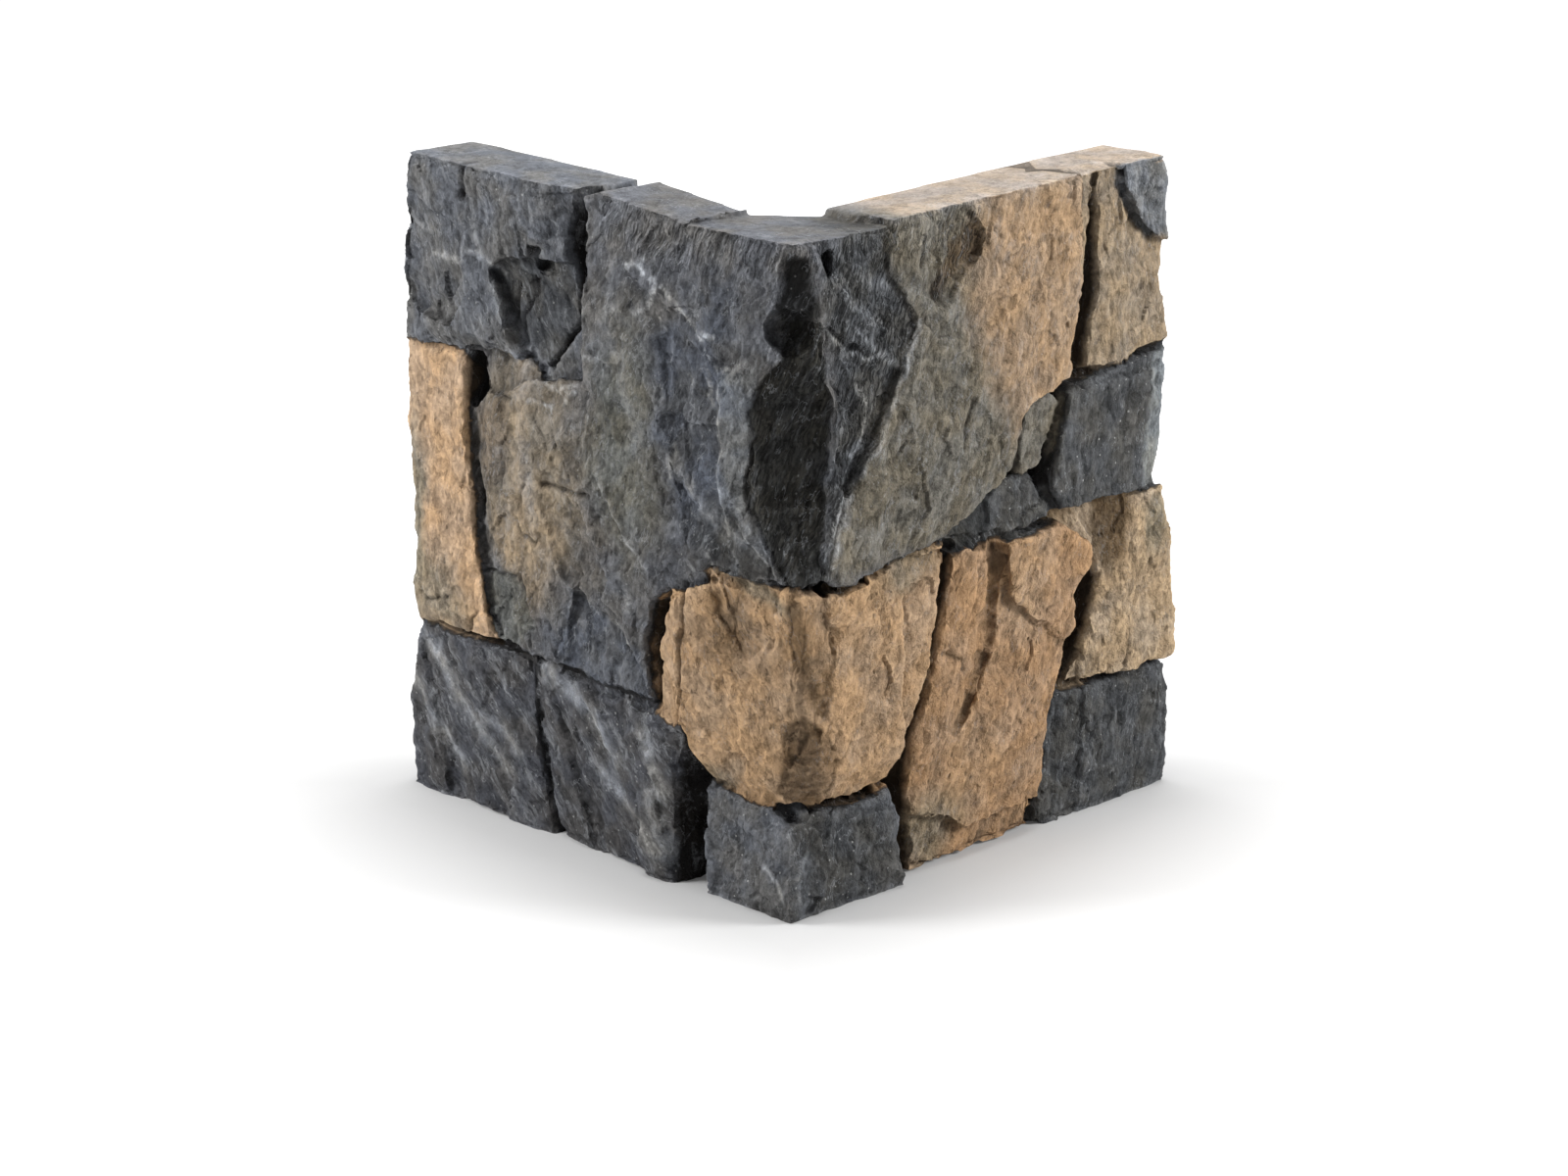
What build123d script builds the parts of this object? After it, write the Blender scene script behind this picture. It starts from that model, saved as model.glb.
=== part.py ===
"""Cast corner stone for a wall: two wings at a right angle, moulded in one piece, with rock-faced stones outside.

The outside is drawn unrolled. s runs along the faces in millimetres, negative on the left wing, zero at the
nominal corner and positive on the right wing. z is the height above the bed, and out is how far a point stands
in front of the nominal face.
"""
import os
from collections import namedtuple
from math import radians, tan

from build123d import *

# Overall sizes, in millimetres
WING = 335  # furthest end of each wing from the nominal corner
HEIGHT = 400  # tallest stone above the bed
DEPTH = 48  # nominal face to the flat back
INNER_CHAMFER = 32  # leg of the strengthening chamfer inside the corner

# Joints between the stones
RAKE = 20  # joint floor behind the nominal face
PROUD = 10  # furthest that any stone stands in front of the nominal face
DRAFT = 9  # degrees that a joint wall leans back, so that the casting leaves its mould
ROOT = 4  # how deep a stone is carried into the panel
UPPER_BED = 284  # bed joint under the top course

# Stones at an edge are drawn past it by this much and trimmed with the panel
OVERRUN = 20
LEFT_END = -(WING + OVERRUN)
RIGHT_END = WING + OVERRUN
TOP = HEIGHT + OVERRUN
BED = -OVERRUN
AROUND = 30  # how far a corner stone's outline runs past the corner before it is trimmed
ABOVE = TOP + OVERRUN  # clear of everything
CLEAR = PROUD + OVERRUN  # in front of every stone

# The nominal corner stands so that the whole unit is centred on the origin
CORNER_X = (WING - PROUD) / 2
CORNER_Y = -CORNER_X

LEFT = Plane(origin=(CORNER_X, CORNER_Y, 0), x_dir=(1, 0, 0), z_dir=(0, -1, 0))
RIGHT = Plane(origin=(CORNER_X, CORNER_Y, 0), x_dir=(0, 1, 0), z_dir=(1, 0, 0))
# Upright plane that halves the corner: its x points out of the arris
DIAGONAL = Plane(origin=(CORNER_X, CORNER_Y, 0), x_dir=(1, -1, 0), z_dir=(-1, -1, 0))

# A chisel facet: the plane through (s, z, out) that rises by lean_s and lean_z for each millimetre of s and z
Facet = namedtuple("Facet", "s z out lean_s lean_z")


def course(share):
    """A height in the top course, as a share of it, so that the course can be made taller."""
    return UPPER_BED + share * (HEIGHT - UPPER_BED)


def facet_plane(wing, facet):
    """The plane of one chisel facet, facing outwards."""
    origin = wing.from_local_coords(Vector(facet.s, facet.z, facet.out))
    normal = wing.z_dir - wing.x_dir * facet.lean_s - wing.y_dir * facet.lean_z
    return Plane(origin=origin, z_dir=normal)


def grown(outline, amount):
    """The outline with every side moved outwards by amount, corners kept sharp."""
    points = [Vector(*point) for point in outline]
    turn = sum(a.X * b.Y - b.X * a.Y for a, b in zip(points, points[1:] + points[:1]))
    moved = []
    for before, here, after in zip(points[-1:] + points[:-1], points, points[1:] + points[:1]):
        into = (here - before).normalized()
        away = (after - here).normalized()
        side_in = Vector(into.Y, -into.X) if turn > 0 else Vector(-into.Y, into.X)
        side_out = Vector(away.Y, -away.X) if turn > 0 else Vector(-away.Y, away.X)
        moved.append(here + (side_in + side_out) * (amount / (1 + side_in.dot(side_out))))
    return [(point.X, point.Y) for point in moved]


def raised(wing, outline):
    """One stone's block, rooted in the panel. Its drafted joint walls meet the outline at the nominal face."""
    lean = tan(radians(DRAFT))
    with BuildPart() as block:
        with BuildSketch(wing.offset(-RAKE - ROOT)):
            Polygon(*grown(outline, (RAKE + ROOT) * lean), align=None)
        with BuildSketch(wing.offset(PROUD)):
            Polygon(*grown(outline, -PROUD * lean), align=None)
        loft(ruled=True)
    return block.part


def stone(wing, outline, facets):
    """A stone that lies on one wing, dressed to its facets."""
    with BuildPart() as dressed:
        add(raised(wing, outline))
        for facet in facets:
            split(bisect_by=facet_plane(wing, facet), keep=Keep.BOTTOM)
    return dressed.part


def quoin(left_outline, right_outline, left_facets, right_facets):
    """A stone that goes round the corner, dressed to the facets of both its faces."""
    with BuildPart() as dressed:
        add(raised(LEFT, left_outline))
        add(raised(RIGHT, right_outline))
        for facet in left_facets:
            split(bisect_by=facet_plane(LEFT, facet), keep=Keep.BOTTOM)
        for facet in right_facets:
            split(bisect_by=facet_plane(RIGHT, facet), keep=Keep.BOTTOM)
    return dressed.part


def flake(wing, outline, floor):
    """The waste that was struck off inside an outline, down to a facet."""
    with BuildPart() as waste:
        with BuildSketch(wing.offset(-RAKE)):
            Polygon(*outline, align=None)
        extrude(amount=RAKE + CLEAR)
        split(bisect_by=facet_plane(wing, floor), keep=Keep.TOP)
    return waste.part


def spall(profile, half_width):
    """Waste struck off across the arris: a profile on the diagonal plane, carried to both sides."""
    with BuildPart() as waste:
        with BuildSketch(DIAGONAL):
            Polygon(*profile, align=None)
        extrude(amount=half_width, both=True)
    return waste.part


def scoop(out, z, across, tall):
    """A shell-shaped hollow on the arris: its centre's place out of the arris, then its half widths."""
    with BuildPart(Location(DIAGONAL.from_local_coords((out, z)))) as waste:
        Sphere(across)
        scale(by=(1, 1, tall / across))
    return waste.part


stones = [
    # Dark block at the top of the left wing
    stone(
        LEFT,
        [
            (LEFT_END, TOP), (-170, TOP), (-182, course(0.63)), (-176, course(0.33)), (-203, 289),
            (-260, 286),
            (LEFT_END, 286),
        ],
        [
            Facet(-250, 340, 6, 0.01, -0.02), Facet(-312, 340, 3, 0.25, 0), Facet(-250, 392, 4, 0, -0.3),
            Facet(-190, 380, 2, -0.35, 0), Facet(-250, 291, 4, 0, 0.35),
        ],
    ),
    # Tan upright at the end of the left wing
    stone(
        LEFT,
        [(LEFT_END, 282), (-271, 283), (-271, 225), (-264, 174), (-247, 111), (LEFT_END, 108)],
        [Facet(-295, 195, 2, 0.05, -0.02), Facet(-320, 195, 0, 0.3, 0), Facet(-295, 114, 2, 0, 0.3)],
    ),
    # Dark pair along the bed of the left wing
    stone(
        LEFT,
        [(LEFT_END, 105), (-217, 106), (-216, 83), (-211, 47), (-192, BED), (LEFT_END, BED)],
        [
            Facet(-278, 40, 7, 0.14, -0.03), Facet(-278, 40, 7, -0.09, -0.03), Facet(-270, 8, 5, 0, 0.35),
            Facet(-270, 98, 4, 0, -0.2),
        ],
    ),
    stone(
        LEFT,
        [(-212, 104), (-107, 102), (-81, 96), (-85, 60), (-90, BED), (-187, BED), (-206, 42), (-213, 84)],
        [
            Facet(-150, 30, 5.5, 0.11, -0.02), Facet(-95, 60, 8, -0.25, 0), Facet(-150, 8, 5, 0.1, 0.35),
            Facet(-150, 96, 3, 0.05, -0.2),
        ],
    ),
    # Great quoin that fills most of both wings
    quoin(
        [
            (AROUND, TOP), (-168, TOP), (-160, course(0.75)), (-169, course(0.5)), (-171, course(0.34)),
            (-202, 286),
            (-260, 283), (-257, 263), (-266, 252), (-266, 219), (-260, 196), (-262, 165), (-244, 111),
            (-166, 106),
            (-112, 105), (-114, 143), (-109, 165), (-94, 178), (-55, 192), (AROUND, 195),
        ],
        [
            (-AROUND, 195), (0, 195), (43, 190), (75, 194), (107, 198), (128, 201), (165, 220), (178, 226),
            (186, 243),
            (188, 262), (215, 273), (232, 277), (245, course(0.45)), (252, course(0.87)), (252, TOP),
            (-AROUND, TOP),
        ],
        [
            Facet(-120, 260, 4, -0.01, 0), Facet(-30, 300, -1, -0.1, 0.02), Facet(-225, 200, 2, 0.06, 0.02),
            Facet(-160, 360, 1, 0.08, -0.06), Facet(-90, 384, 1, 0, -0.25), Facet(-250, 220, 0, 0.3, 0),
        ],
        [
            Facet(30, 230, 7, 0.01, -0.03), Facet(170, 290, 8, -0.01, -0.02), Facet(222, 330, 6, -0.12, 0),
            Facet(170, 386, 5, 0, -0.25), Facet(130, 212, 5, -0.06, 0.14),
        ],
    ),
    # Tan quoin under it, rounded below
    quoin(
        [
            (AROUND, 191), (-55, 188), (-90, 179), (-101, 167), (-107, 139), (-106, 103), (-78, 93),
            (-65, 72), (-27, 67),
            (AROUND, 67),
        ],
        [
            (-AROUND, 191), (0, 191), (40, 187), (99, 195), (128, 198), (121, 148), (114, 120), (96, 87),
            (79, 67), (52, 63), (0, 67),
            (-AROUND, 67),
        ],
        [Facet(-50, 140, 1, -0.16, -0.03), Facet(-97, 140, 2, 0.4, 0), Facet(-50, 78, 1, -0.1, 0.35)],
        [Facet(50, 140, 6, -0.02, -0.03), Facet(115, 150, 4, -0.2, 0), Facet(60, 74, 5, 0, 0.3)],
    ),
    # Dark quoin on the bed
    quoin(
        [(AROUND, 63), (-27, 64), (-66, 68), (-66, BED), (AROUND, BED)],
        [(-AROUND, 63), (0, 63), (52, 59), (76, 64), (85, 43), (84, 31), (96, BED), (-AROUND, BED)],
        [Facet(-30, 35, 2, -0.02, -0.05), Facet(-30, 8, 3, 0, 0.35)],
        [Facet(45, 35, 6, 0.08, -0.05), Facet(45, 8, 7, 0.06, 0.35)],
    ),
    # Stones up the end of the right wing
    stone(
        RIGHT,
        [
            (255, TOP), (257, course(0.35)), (248, 278), (277, 278), (299, 283), (RIGHT_END, 284),
            (RIGHT_END, TOP),
        ],
        [Facet(290, 340, 5, -0.03, -0.02), Facet(262, 330, 3, 0.25, 0), Facet(290, 392, 4, 0, -0.3)],
    ),
    stone(
        RIGHT,
        [
            (230, 268), (250, 273), (300, 279), (RIGHT_END, 279), (RIGHT_END, 200), (298, 196), (223, 198),
            (215, 214),
            (223, 239),
        ],
        [Facet(265, 240, 5, -0.01, -0.02), Facet(306, 240, 3, -0.35, 0.05)],
    ),
    stone(
        RIGHT,
        [(196, 263), (219, 269), (226, 264), (219, 240), (208, 226), (190, 227)],
        [Facet(205, 245, -1, -0.1, 0.05)],
    ),
    stone(
        RIGHT,
        [(131, 199), (165, 217), (182, 224), (203, 222), (221, 198), (200, 191), (144, 191)],
        [Facet(180, 205, 0, -0.05, 0), Facet(145, 200, -4, 0.15, 0)],
    ),
    stone(
        RIGHT,
        [
            (230, 193), (262, 194), (299, 193), (RIGHT_END, 198), (RIGHT_END, 84), (294, 82), (240, 86),
            (252, 106),
            (266, 146), (260, 166),
        ],
        [Facet(305, 140, 5, -0.03, -0.02), Facet(275, 175, 0, 0.2, -0.1), Facet(262, 140, 2, 0.25, 0)],
    ),
    # Tan upright that stands on the bed beside the dark quoin
    stone(
        RIGHT,
        [
            (134, 189), (200, 187), (226, 191), (255, 170), (258, 158), (240, 141), (243, 125), (224, 87),
            (218, 63),
            (206, BED), (106, BED), (98, 52), (98, 73), (113, 108), (132, 169),
        ],
        [
            Facet(190, 140, 7, 0, -0.01), Facet(120, 60, 3, 0.12, 0), Facet(225, 130, 5, -0.12, 0),
            Facet(160, 8, 3, 0, 0.35),
        ],
    ),
    # Dark stone at the far end of the right wing's bed
    stone(
        RIGHT,
        [(226, 84), (257, 80), (294, 78), (RIGHT_END, 80), (RIGHT_END, BED), (211, BED), (222, 62)],
        [Facet(280, 45, 3, -0.03, -0.03), Facet(240, 45, 1, 0.15, 0), Facet(280, 8, 3, 0, 0.35)],
    ),
]

flakes = [
    # Top left block: hollow at its right with a small pit over it, and a shallow leaf gone on its left
    flake(
        LEFT,
        [(-242, 339), (-229, 349), (-165, 353), (-165, 287), (-203, 280), (-223, 301), (-235, 326)],
        Facet(-205, 320, -4, -0.05, 0.02),
    ),
    flake(LEFT, [(-208, 360), (-197, 360), (-200, 345), (-210, 345)], Facet(-203, 355, -11, 0, 0)),
    flake(
        LEFT,
        [(-318, course(0.8)), (-275, course(0.66)), (-258, course(0.4)), (-280, 302), (-340, 310)],
        Facet(-285, 340, 3, 0.08, 0.05),
    ),
    # Shelf under that block
    flake(
        LEFT,
        [(-269, 290), (-196, 290), (-222, 273), (-250, 264), (-269, 260)],
        Facet(-230, 275, -3, 0, 0),
    ),
    # Great quoin's left face: plate gone from its foot, long valley beside the arris, leaf gone between them
    flake(
        LEFT,
        [(-173, 161), (-152, 157), (-136, 150), (-118, 120), (-110, 98), (-190, 98)],
        Facet(-145, 125, 0, 0, 0),
    ),
    flake(
        LEFT,
        [(-118, 352), (-80, 338), (-52, 316), (-44, 262), (-48, 214), (-74, 205), (-92, 262), (-98, 312)],
        Facet(-72, 270, 1, -0.02, 0.01),
    ),
    flake(
        LEFT,
        [
            (-186, 250), (-172, 220), (-164, 195), (-143, 172), (-152, 157), (-186, 163), (-205, 205),
            (-204, 218),
        ],
        Facet(-175, 205, 2, -0.03, 0.03),
    ),
    # Great quoin's right face: leaf gone between the arris and the long crack, and the hollow inside it
    flake(
        RIGHT,
        [
            (-AROUND, 188), (30, 188), (36, 221), (58, 262), (80, course(0.14)), (99, course(0.4)),
            (77, course(0.69)),
            (80, ABOVE), (-AROUND, ABOVE),
        ],
        Facet(40, 300, 3.5, -0.03, -0.03),
    ),
    flake(
        RIGHT,
        [(24, 340), (84, 310), (75, 288), (56, 262), (42, 240), (36, 262), (38, 300)],
        Facet(60, 290, -0.5, 0.04, 0.02),
    ),
    # Trough at the top of that face
    flake(
        RIGHT,
        [
            (138, ABOVE), (138, course(0.95)), (155, course(0.8)), (149, course(0.67)), (121, course(0.46)),
            (105, course(0.53)), (95, course(0.76)), (110, ABOVE),
        ],
        Facet(145, 365, -1, -0.1, 0.02),
    ),
    # Thin leaf gone from all but the upper corner of the top right stone
    flake(
        RIGHT,
        [
            (275, ABOVE), (275, course(0.86)), (292, course(0.66)), (306, course(0.55)),
            (RIGHT_END, course(0.52)),
            (RIGHT_END, 270), (240, 270), (240, ABOVE),
        ],
        Facet(290, 320, 1, -0.03, -0.02),
    ),
    # Leaf gone from all but the shoulder of the tan upright, a valley down it, and a broken ledge at its foot
    flake(
        RIGHT,
        [(172, 195), (176, 171), (184, 146), (202, 136), (250, 112), (250, BED), (90, BED), (90, 195)],
        Facet(150, 100, 3.5, 0.01, -0.02),
    ),
    flake(
        RIGHT,
        [
            (158, 195), (176, 195), (174, 160), (168, 128), (150, 96), (136, 78), (128, 84), (142, 114),
            (154, 150),
        ],
        Facet(155, 120, 0, -0.08, 0),
    ),
    flake(
        RIGHT,
        [(90, 38), (126, 29), (144, 18), (212, 21), (212, BED), (90, BED)],
        Facet(150, 10, -2, 0, 0),
    ),
    # Dark pair on the left bed: leaves gone along slanting lines
    flake(
        LEFT,
        [(-322, 96), (-296, 102), (-232, 22), (-240, BED), (-285, BED)],
        Facet(-275, 50, 2.5, 0.06, 0.03),
    ),
    flake(
        LEFT,
        [(-204, 90), (-182, 104), (-116, 32), (-112, BED), (-150, BED)],
        Facet(-155, 50, 1.5, 0.1, 0.03),
    ),
    # Tan quoin: leaf gone from the top of its left face and along the arris side of its right face
    flake(
        LEFT,
        [(-66, 195), (-58, 168), (-40, 150), (-16, 156), (-8, 195)],
        Facet(-40, 175, -3, -0.1, -0.04),
    ),
    flake(
        RIGHT,
        [(-AROUND, 195), (26, 195), (34, 162), (26, 117), (10, 96), (-AROUND, 90)],
        Facet(20, 150, 4, 0.05, -0.02),
    ),
    # Nick in the top of the dark quoin, and the small pit beside the arris at the top
    flake(LEFT, [(-16, 65), (6, 65), (1, 56), (-11, 56)], Facet(-5, 60, -14, 0, 0)),
    flake(RIGHT, [(25, 380), (34, 381), (33, 368), (27, 366)], Facet(30, 375, -9, 0, 0)),
    # Arris of the great quoin: a long spall, with a deep hollow in two lobes at its head
    spall(
        [
            (CLEAR, 180), (-3, 180), (-9, 212), (-20, 240), (-23, 262), (-21, 296), (-11, 322), (-8, 380),
            (CLEAR, 386),
        ],
        DEPTH,
    ),
    scoop(-7, 361, 17, 20),
    scoop(-9, 338, 14, 14),
    # Arris of the tan quoin: narrow above, and a broad facet below
    spall([(CLEAR, 198), (-4, 198), (-6, 114), (-13, 64), (CLEAR, 52)], DEPTH),
]

# How far each wing stops short of its furthest end, going up: (height, setback)
left_setbacks = [
    (BED, 8), (20, 2), (60, 0), (104, 10), (130, 4), (200, 6), (235, 2), (UPPER_BED - 2, 9),
    (UPPER_BED + 6, 4),
    (course(0.6), 8), (course(0.87), 12), (HEIGHT, 18), (ABOVE, 18),
]
right_setbacks = [
    (BED, 2), (40, 0), (81, 5), (100, 0), (150, 5), (198, 14), (210, 8), (276, 8), (UPPER_BED + 2, 8),
    (course(0.35), 19), (course(0.56), 14), (HEIGHT, 20), (ABOVE, 20),
]

with BuildPart() as corner_stone:
    # Panel behind the stones, with the chamfer inside its corner
    with BuildSketch(Plane.XY):
        with BuildLine():
            Polyline(
                (CORNER_X - RAKE, CORNER_Y + RAKE),
                (CORNER_X - WING, CORNER_Y + RAKE),
                (CORNER_X - WING, CORNER_Y + DEPTH),
                (CORNER_X - DEPTH - INNER_CHAMFER, CORNER_Y + DEPTH),
                (CORNER_X - DEPTH, CORNER_Y + DEPTH + INNER_CHAMFER),
                (CORNER_X - DEPTH, CORNER_Y + WING),
                (CORNER_X - RAKE, CORNER_Y + WING),
                close=True,
            )
        make_face()
    extrude(amount=HEIGHT)
    for block in stones:
        add(block)
    for waste in flakes:
        add(waste, mode=Mode.SUBTRACT)
    # Trim the stones to the bed
    split(bisect_by=Plane.XY, keep=Keep.TOP)
    # Ends of the wings, stone by stone, cut through the full depth
    with BuildSketch(LEFT.offset(CLEAR)):
        Polygon(
            *[(setback - WING, height) for height, setback in left_setbacks],
            (LEFT_END - OVERRUN, ABOVE), (LEFT_END - OVERRUN, BED),
            align=None,
        )
    extrude(amount=-(CLEAR + DEPTH + 1), mode=Mode.SUBTRACT)
    with BuildSketch(RIGHT.offset(CLEAR)):
        Polygon(
            *[(WING - setback, height) for height, setback in right_setbacks],
            (RIGHT_END + OVERRUN, ABOVE), (RIGHT_END + OVERRUN, BED),
            align=None,
        )
    extrude(amount=-(CLEAR + DEPTH + 1), mode=Mode.SUBTRACT)
    # Top edge of each wing, one line for each stone, cut through the full depth
    with BuildSketch(LEFT.offset(CLEAR)):
        Polygon(
            (LEFT_END, HEIGHT), (-300, HEIGHT), (-170, HEIGHT - 4), (-170, HEIGHT - 9), (-152, HEIGHT - 3),
            (0, HEIGHT - 11), (CLEAR, HEIGHT - 11), (CLEAR, ABOVE), (LEFT_END, ABOVE),
            align=None,
        )
    extrude(amount=-(CLEAR + DEPTH + INNER_CHAMFER), mode=Mode.SUBTRACT)
    with BuildSketch(RIGHT.offset(CLEAR)):
        Polygon(
            (-CLEAR, HEIGHT - 11), (0, HEIGHT - 11), (78, HEIGHT - 13), (78, HEIGHT - 8), (253, HEIGHT - 3),
            (RIGHT_END, HEIGHT - 1), (RIGHT_END, ABOVE), (-CLEAR, ABOVE),
            align=None,
        )
    extrude(amount=-(CLEAR + DEPTH + INNER_CHAMFER), mode=Mode.SUBTRACT)

corner_stone.part.label = "corner_stone"
os.makedirs("parts", exist_ok=True)
export_step(corner_stone.part, "parts/corner_stone.step")
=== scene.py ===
import math
from collections import namedtuple

import bmesh
import bpy
import numpy as np
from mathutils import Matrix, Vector
from mathutils.bvhtree import BVHTree


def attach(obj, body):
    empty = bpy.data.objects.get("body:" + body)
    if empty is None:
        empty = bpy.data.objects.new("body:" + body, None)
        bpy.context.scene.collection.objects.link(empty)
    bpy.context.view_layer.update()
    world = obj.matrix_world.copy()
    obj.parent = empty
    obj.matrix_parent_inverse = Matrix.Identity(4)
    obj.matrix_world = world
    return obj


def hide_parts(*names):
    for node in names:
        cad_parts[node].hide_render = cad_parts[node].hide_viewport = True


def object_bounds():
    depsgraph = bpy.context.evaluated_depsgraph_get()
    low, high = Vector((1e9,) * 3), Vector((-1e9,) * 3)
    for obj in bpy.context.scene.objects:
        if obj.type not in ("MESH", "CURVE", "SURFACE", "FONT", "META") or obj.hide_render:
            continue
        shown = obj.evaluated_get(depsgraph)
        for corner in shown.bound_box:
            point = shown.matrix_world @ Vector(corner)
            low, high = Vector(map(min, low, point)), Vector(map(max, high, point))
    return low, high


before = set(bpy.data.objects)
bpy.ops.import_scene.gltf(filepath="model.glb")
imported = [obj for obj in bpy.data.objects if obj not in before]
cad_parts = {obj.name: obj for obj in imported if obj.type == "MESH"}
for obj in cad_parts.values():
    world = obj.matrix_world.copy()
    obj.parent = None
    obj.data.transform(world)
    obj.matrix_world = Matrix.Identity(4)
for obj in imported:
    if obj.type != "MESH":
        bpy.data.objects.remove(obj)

cad_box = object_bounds()

# Sizes of the casting, in millimetres
CORNER = 162.5  # the nominal corner stands at (CORNER, -CORNER)
HEIGHT = 400.0
DEPTH = 48.0
RAKE = 20.0
MM = 0.001

# Fineness of the dressed faces
VOXEL = 1.35  # mm
TRIANGLES = 188000
SEED = 7.0
BIG_CHIP = (7.0, 7.0, 13.0)  # mm across, into and along the grain
SMALL_CHIP = (2.6, 2.6, 5.0)
SHARP_EDGE = math.radians(42)

# Zones of the casting, in mm on its unrolled faces
ARRIS_REACH = 40.0  # either side of the arris, where a face may look between the two wings
QUOIN_FOOT = 196.0  # foot of the great quoin at the arris
WING_ENDS = (318.0, 328.0)  # where the faces turn into the ends of the wings
TOP_BAND = (HEIGHT - 24, HEIGHT - 16)
FADE_STARTS, FADE_REACH = 10.0, 60.0  # past the arris, where the other wing stops counting for s
MARGIN = 40.0  # how far outside an outline its distance is worked out
STONE_SHIFT = 137.0  # from one stone's grain to the next one's, so that none repeats
DIP = 4.2  # how far the great quoin's top dips on its way to the arris
DIP_STARTS, DIP_ENDS = -152.0, -80.0


def srgb(red, green, blue):
    """A colour as seen, 0 to 255, turned into the linear values that the shader takes."""
    seen = np.array((red, green, blue)) / 255
    return np.where(seen > 0.04045, ((seen + 0.055) / 1.055) ** 2.4, seen / 12.92)


# Pigments brushed into the mould, the dirt in its joints, and colours that paint shade or light onto facets,
# pockets, hollows and joints
PIGMENTS = {
    "charcoal": srgb(90, 92, 96),
    "coal": srgb(72, 73, 74),
    "purple_slate": srgb(70, 71, 75),
    "slate": srgb(88, 89, 92),
    "blue_slate": srgb(80, 84, 92),
    "dark_slate_and_shade": srgb(62, 63, 64),
    "lit_slate": srgb(124, 128, 129),
    "soot_and_shade": srgb(42, 42, 40),
    "pocket_shade": srgb(20, 20, 20),
    "olive": srgb(124, 115, 101),
    "brown_olive": srgb(146, 131, 111),
    "grey_olive": srgb(108, 104, 95),
    "tan": srgb(170, 143, 114),
    "pale_tan": srgb(180, 153, 125),
    "ochre": srgb(161, 132, 103),
    "brown_shade": srgb(99, 81, 61),
    "dark_brown_shade": srgb(80, 65, 47),
    "weathered_tan": srgb(166, 147, 123),
    "moss_grey": srgb(124, 119, 106),
    "sage": srgb(96, 96, 90),
    "umber_grey": srgb(104, 95, 85),
    "pale_blue": srgb(108, 112, 117),
    "blush": srgb(140, 130, 120),
    "scuff": srgb(168, 171, 175),
    "vein": srgb(205, 208, 211),
    "speck": srgb(190, 190, 188),
    "joint_dirt_and_shade": srgb(30, 28, 27),
    "backing": srgb(126, 122, 115),
}

# places: points (s, z) on the stone
# leans: degrees that its grain leans to the right, on the left and the right wing
# speck, pit and scuff: how strongly those show; relief: how rough its face is
Stone = namedtuple("Stone", "places leans pigment speck pit scuff relief")
STONES = {
    "top_left": Stone(
        [(-285, 345), (-205, 320), (-190, 380), (-203, 352)],
        (-20, 0), "charcoal", 0.4, 0.2, 0.6, 1.1,
    ),
    "left_upright": Stone([(-300, 195)], (4, 0), "pale_tan", 0.0, 0.6, 0.0, 0.6),
    "left_bed_end": Stone(
        [(-270, 50), (-310, 90), (-250, 20)],
        (-42, 0), "purple_slate", 0.5, 0.1, 0.8, 1.0,
    ),
    "left_bed": Stone([(-150, 50), (-190, 80), (-120, 20)], (-42, 0), "purple_slate", 0.5, 0.1, 0.8, 1.0),
    "great_quoin": Stone(
        [
            (-120, 260), (-230, 275), (-145, 125), (-230, 150), (-75, 220), (-15, 213), (15, 213),
            (-20, 300), (20, 300), (0, 360), (60, 340), (170, 290), (90, 250), (125, 370), (60, 210),
        ],
        (16, 12), "slate", 0.3, 0.3, 0.4, 0.9,
    ),
    "tan_quoin": Stone(
        [(-60, 130), (60, 130), (-15, 173), (15, 173), (0, 130), (-15, 85), (15, 85), (100, 160)],
        (-34, 28), "tan", 0.0, 0.6, 0.0, 0.9,
    ),
    "bed_quoin": Stone(
        [(-30, 35), (45, 35), (-15, 45), (15, 45)],
        (16, -8), "charcoal", 0.8, 0.1, 0.3, 0.9,
    ),
    "top_right": Stone([(290, 320), (300, 380)], (0, -6), "brown_olive", 0.3, 0.4, 0.2, 0.9),
    "right_dark": Stone([(265, 240), (312, 240)], (0, 6), "coal", 0.9, 0.1, 0.3, 0.8),
    "wedge": Stone([(205, 245)], (0, 10), "grey_olive", 0.4, 0.1, 0.2, 0.8),
    "small_dark": Stone([(180, 205), (145, 200)], (0, -30), "coal", 0.9, 0.1, 0.3, 1.0),
    "right_tan": Stone([(300, 140), (275, 175)], (0, -4), "weathered_tan", 0.0, 0.6, 0.0, 0.9),
    "tan_upright": Stone(
        [(200, 165), (150, 100), (150, 10), (160, 150)],
        (0, 20), "ochre", 0.0, 0.9, 0.0, 0.9,
    ),
    "right_bed": Stone([(280, 45)], (0, 6), "coal", 0.6, 0.1, 0.4, 1.0),
}
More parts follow.
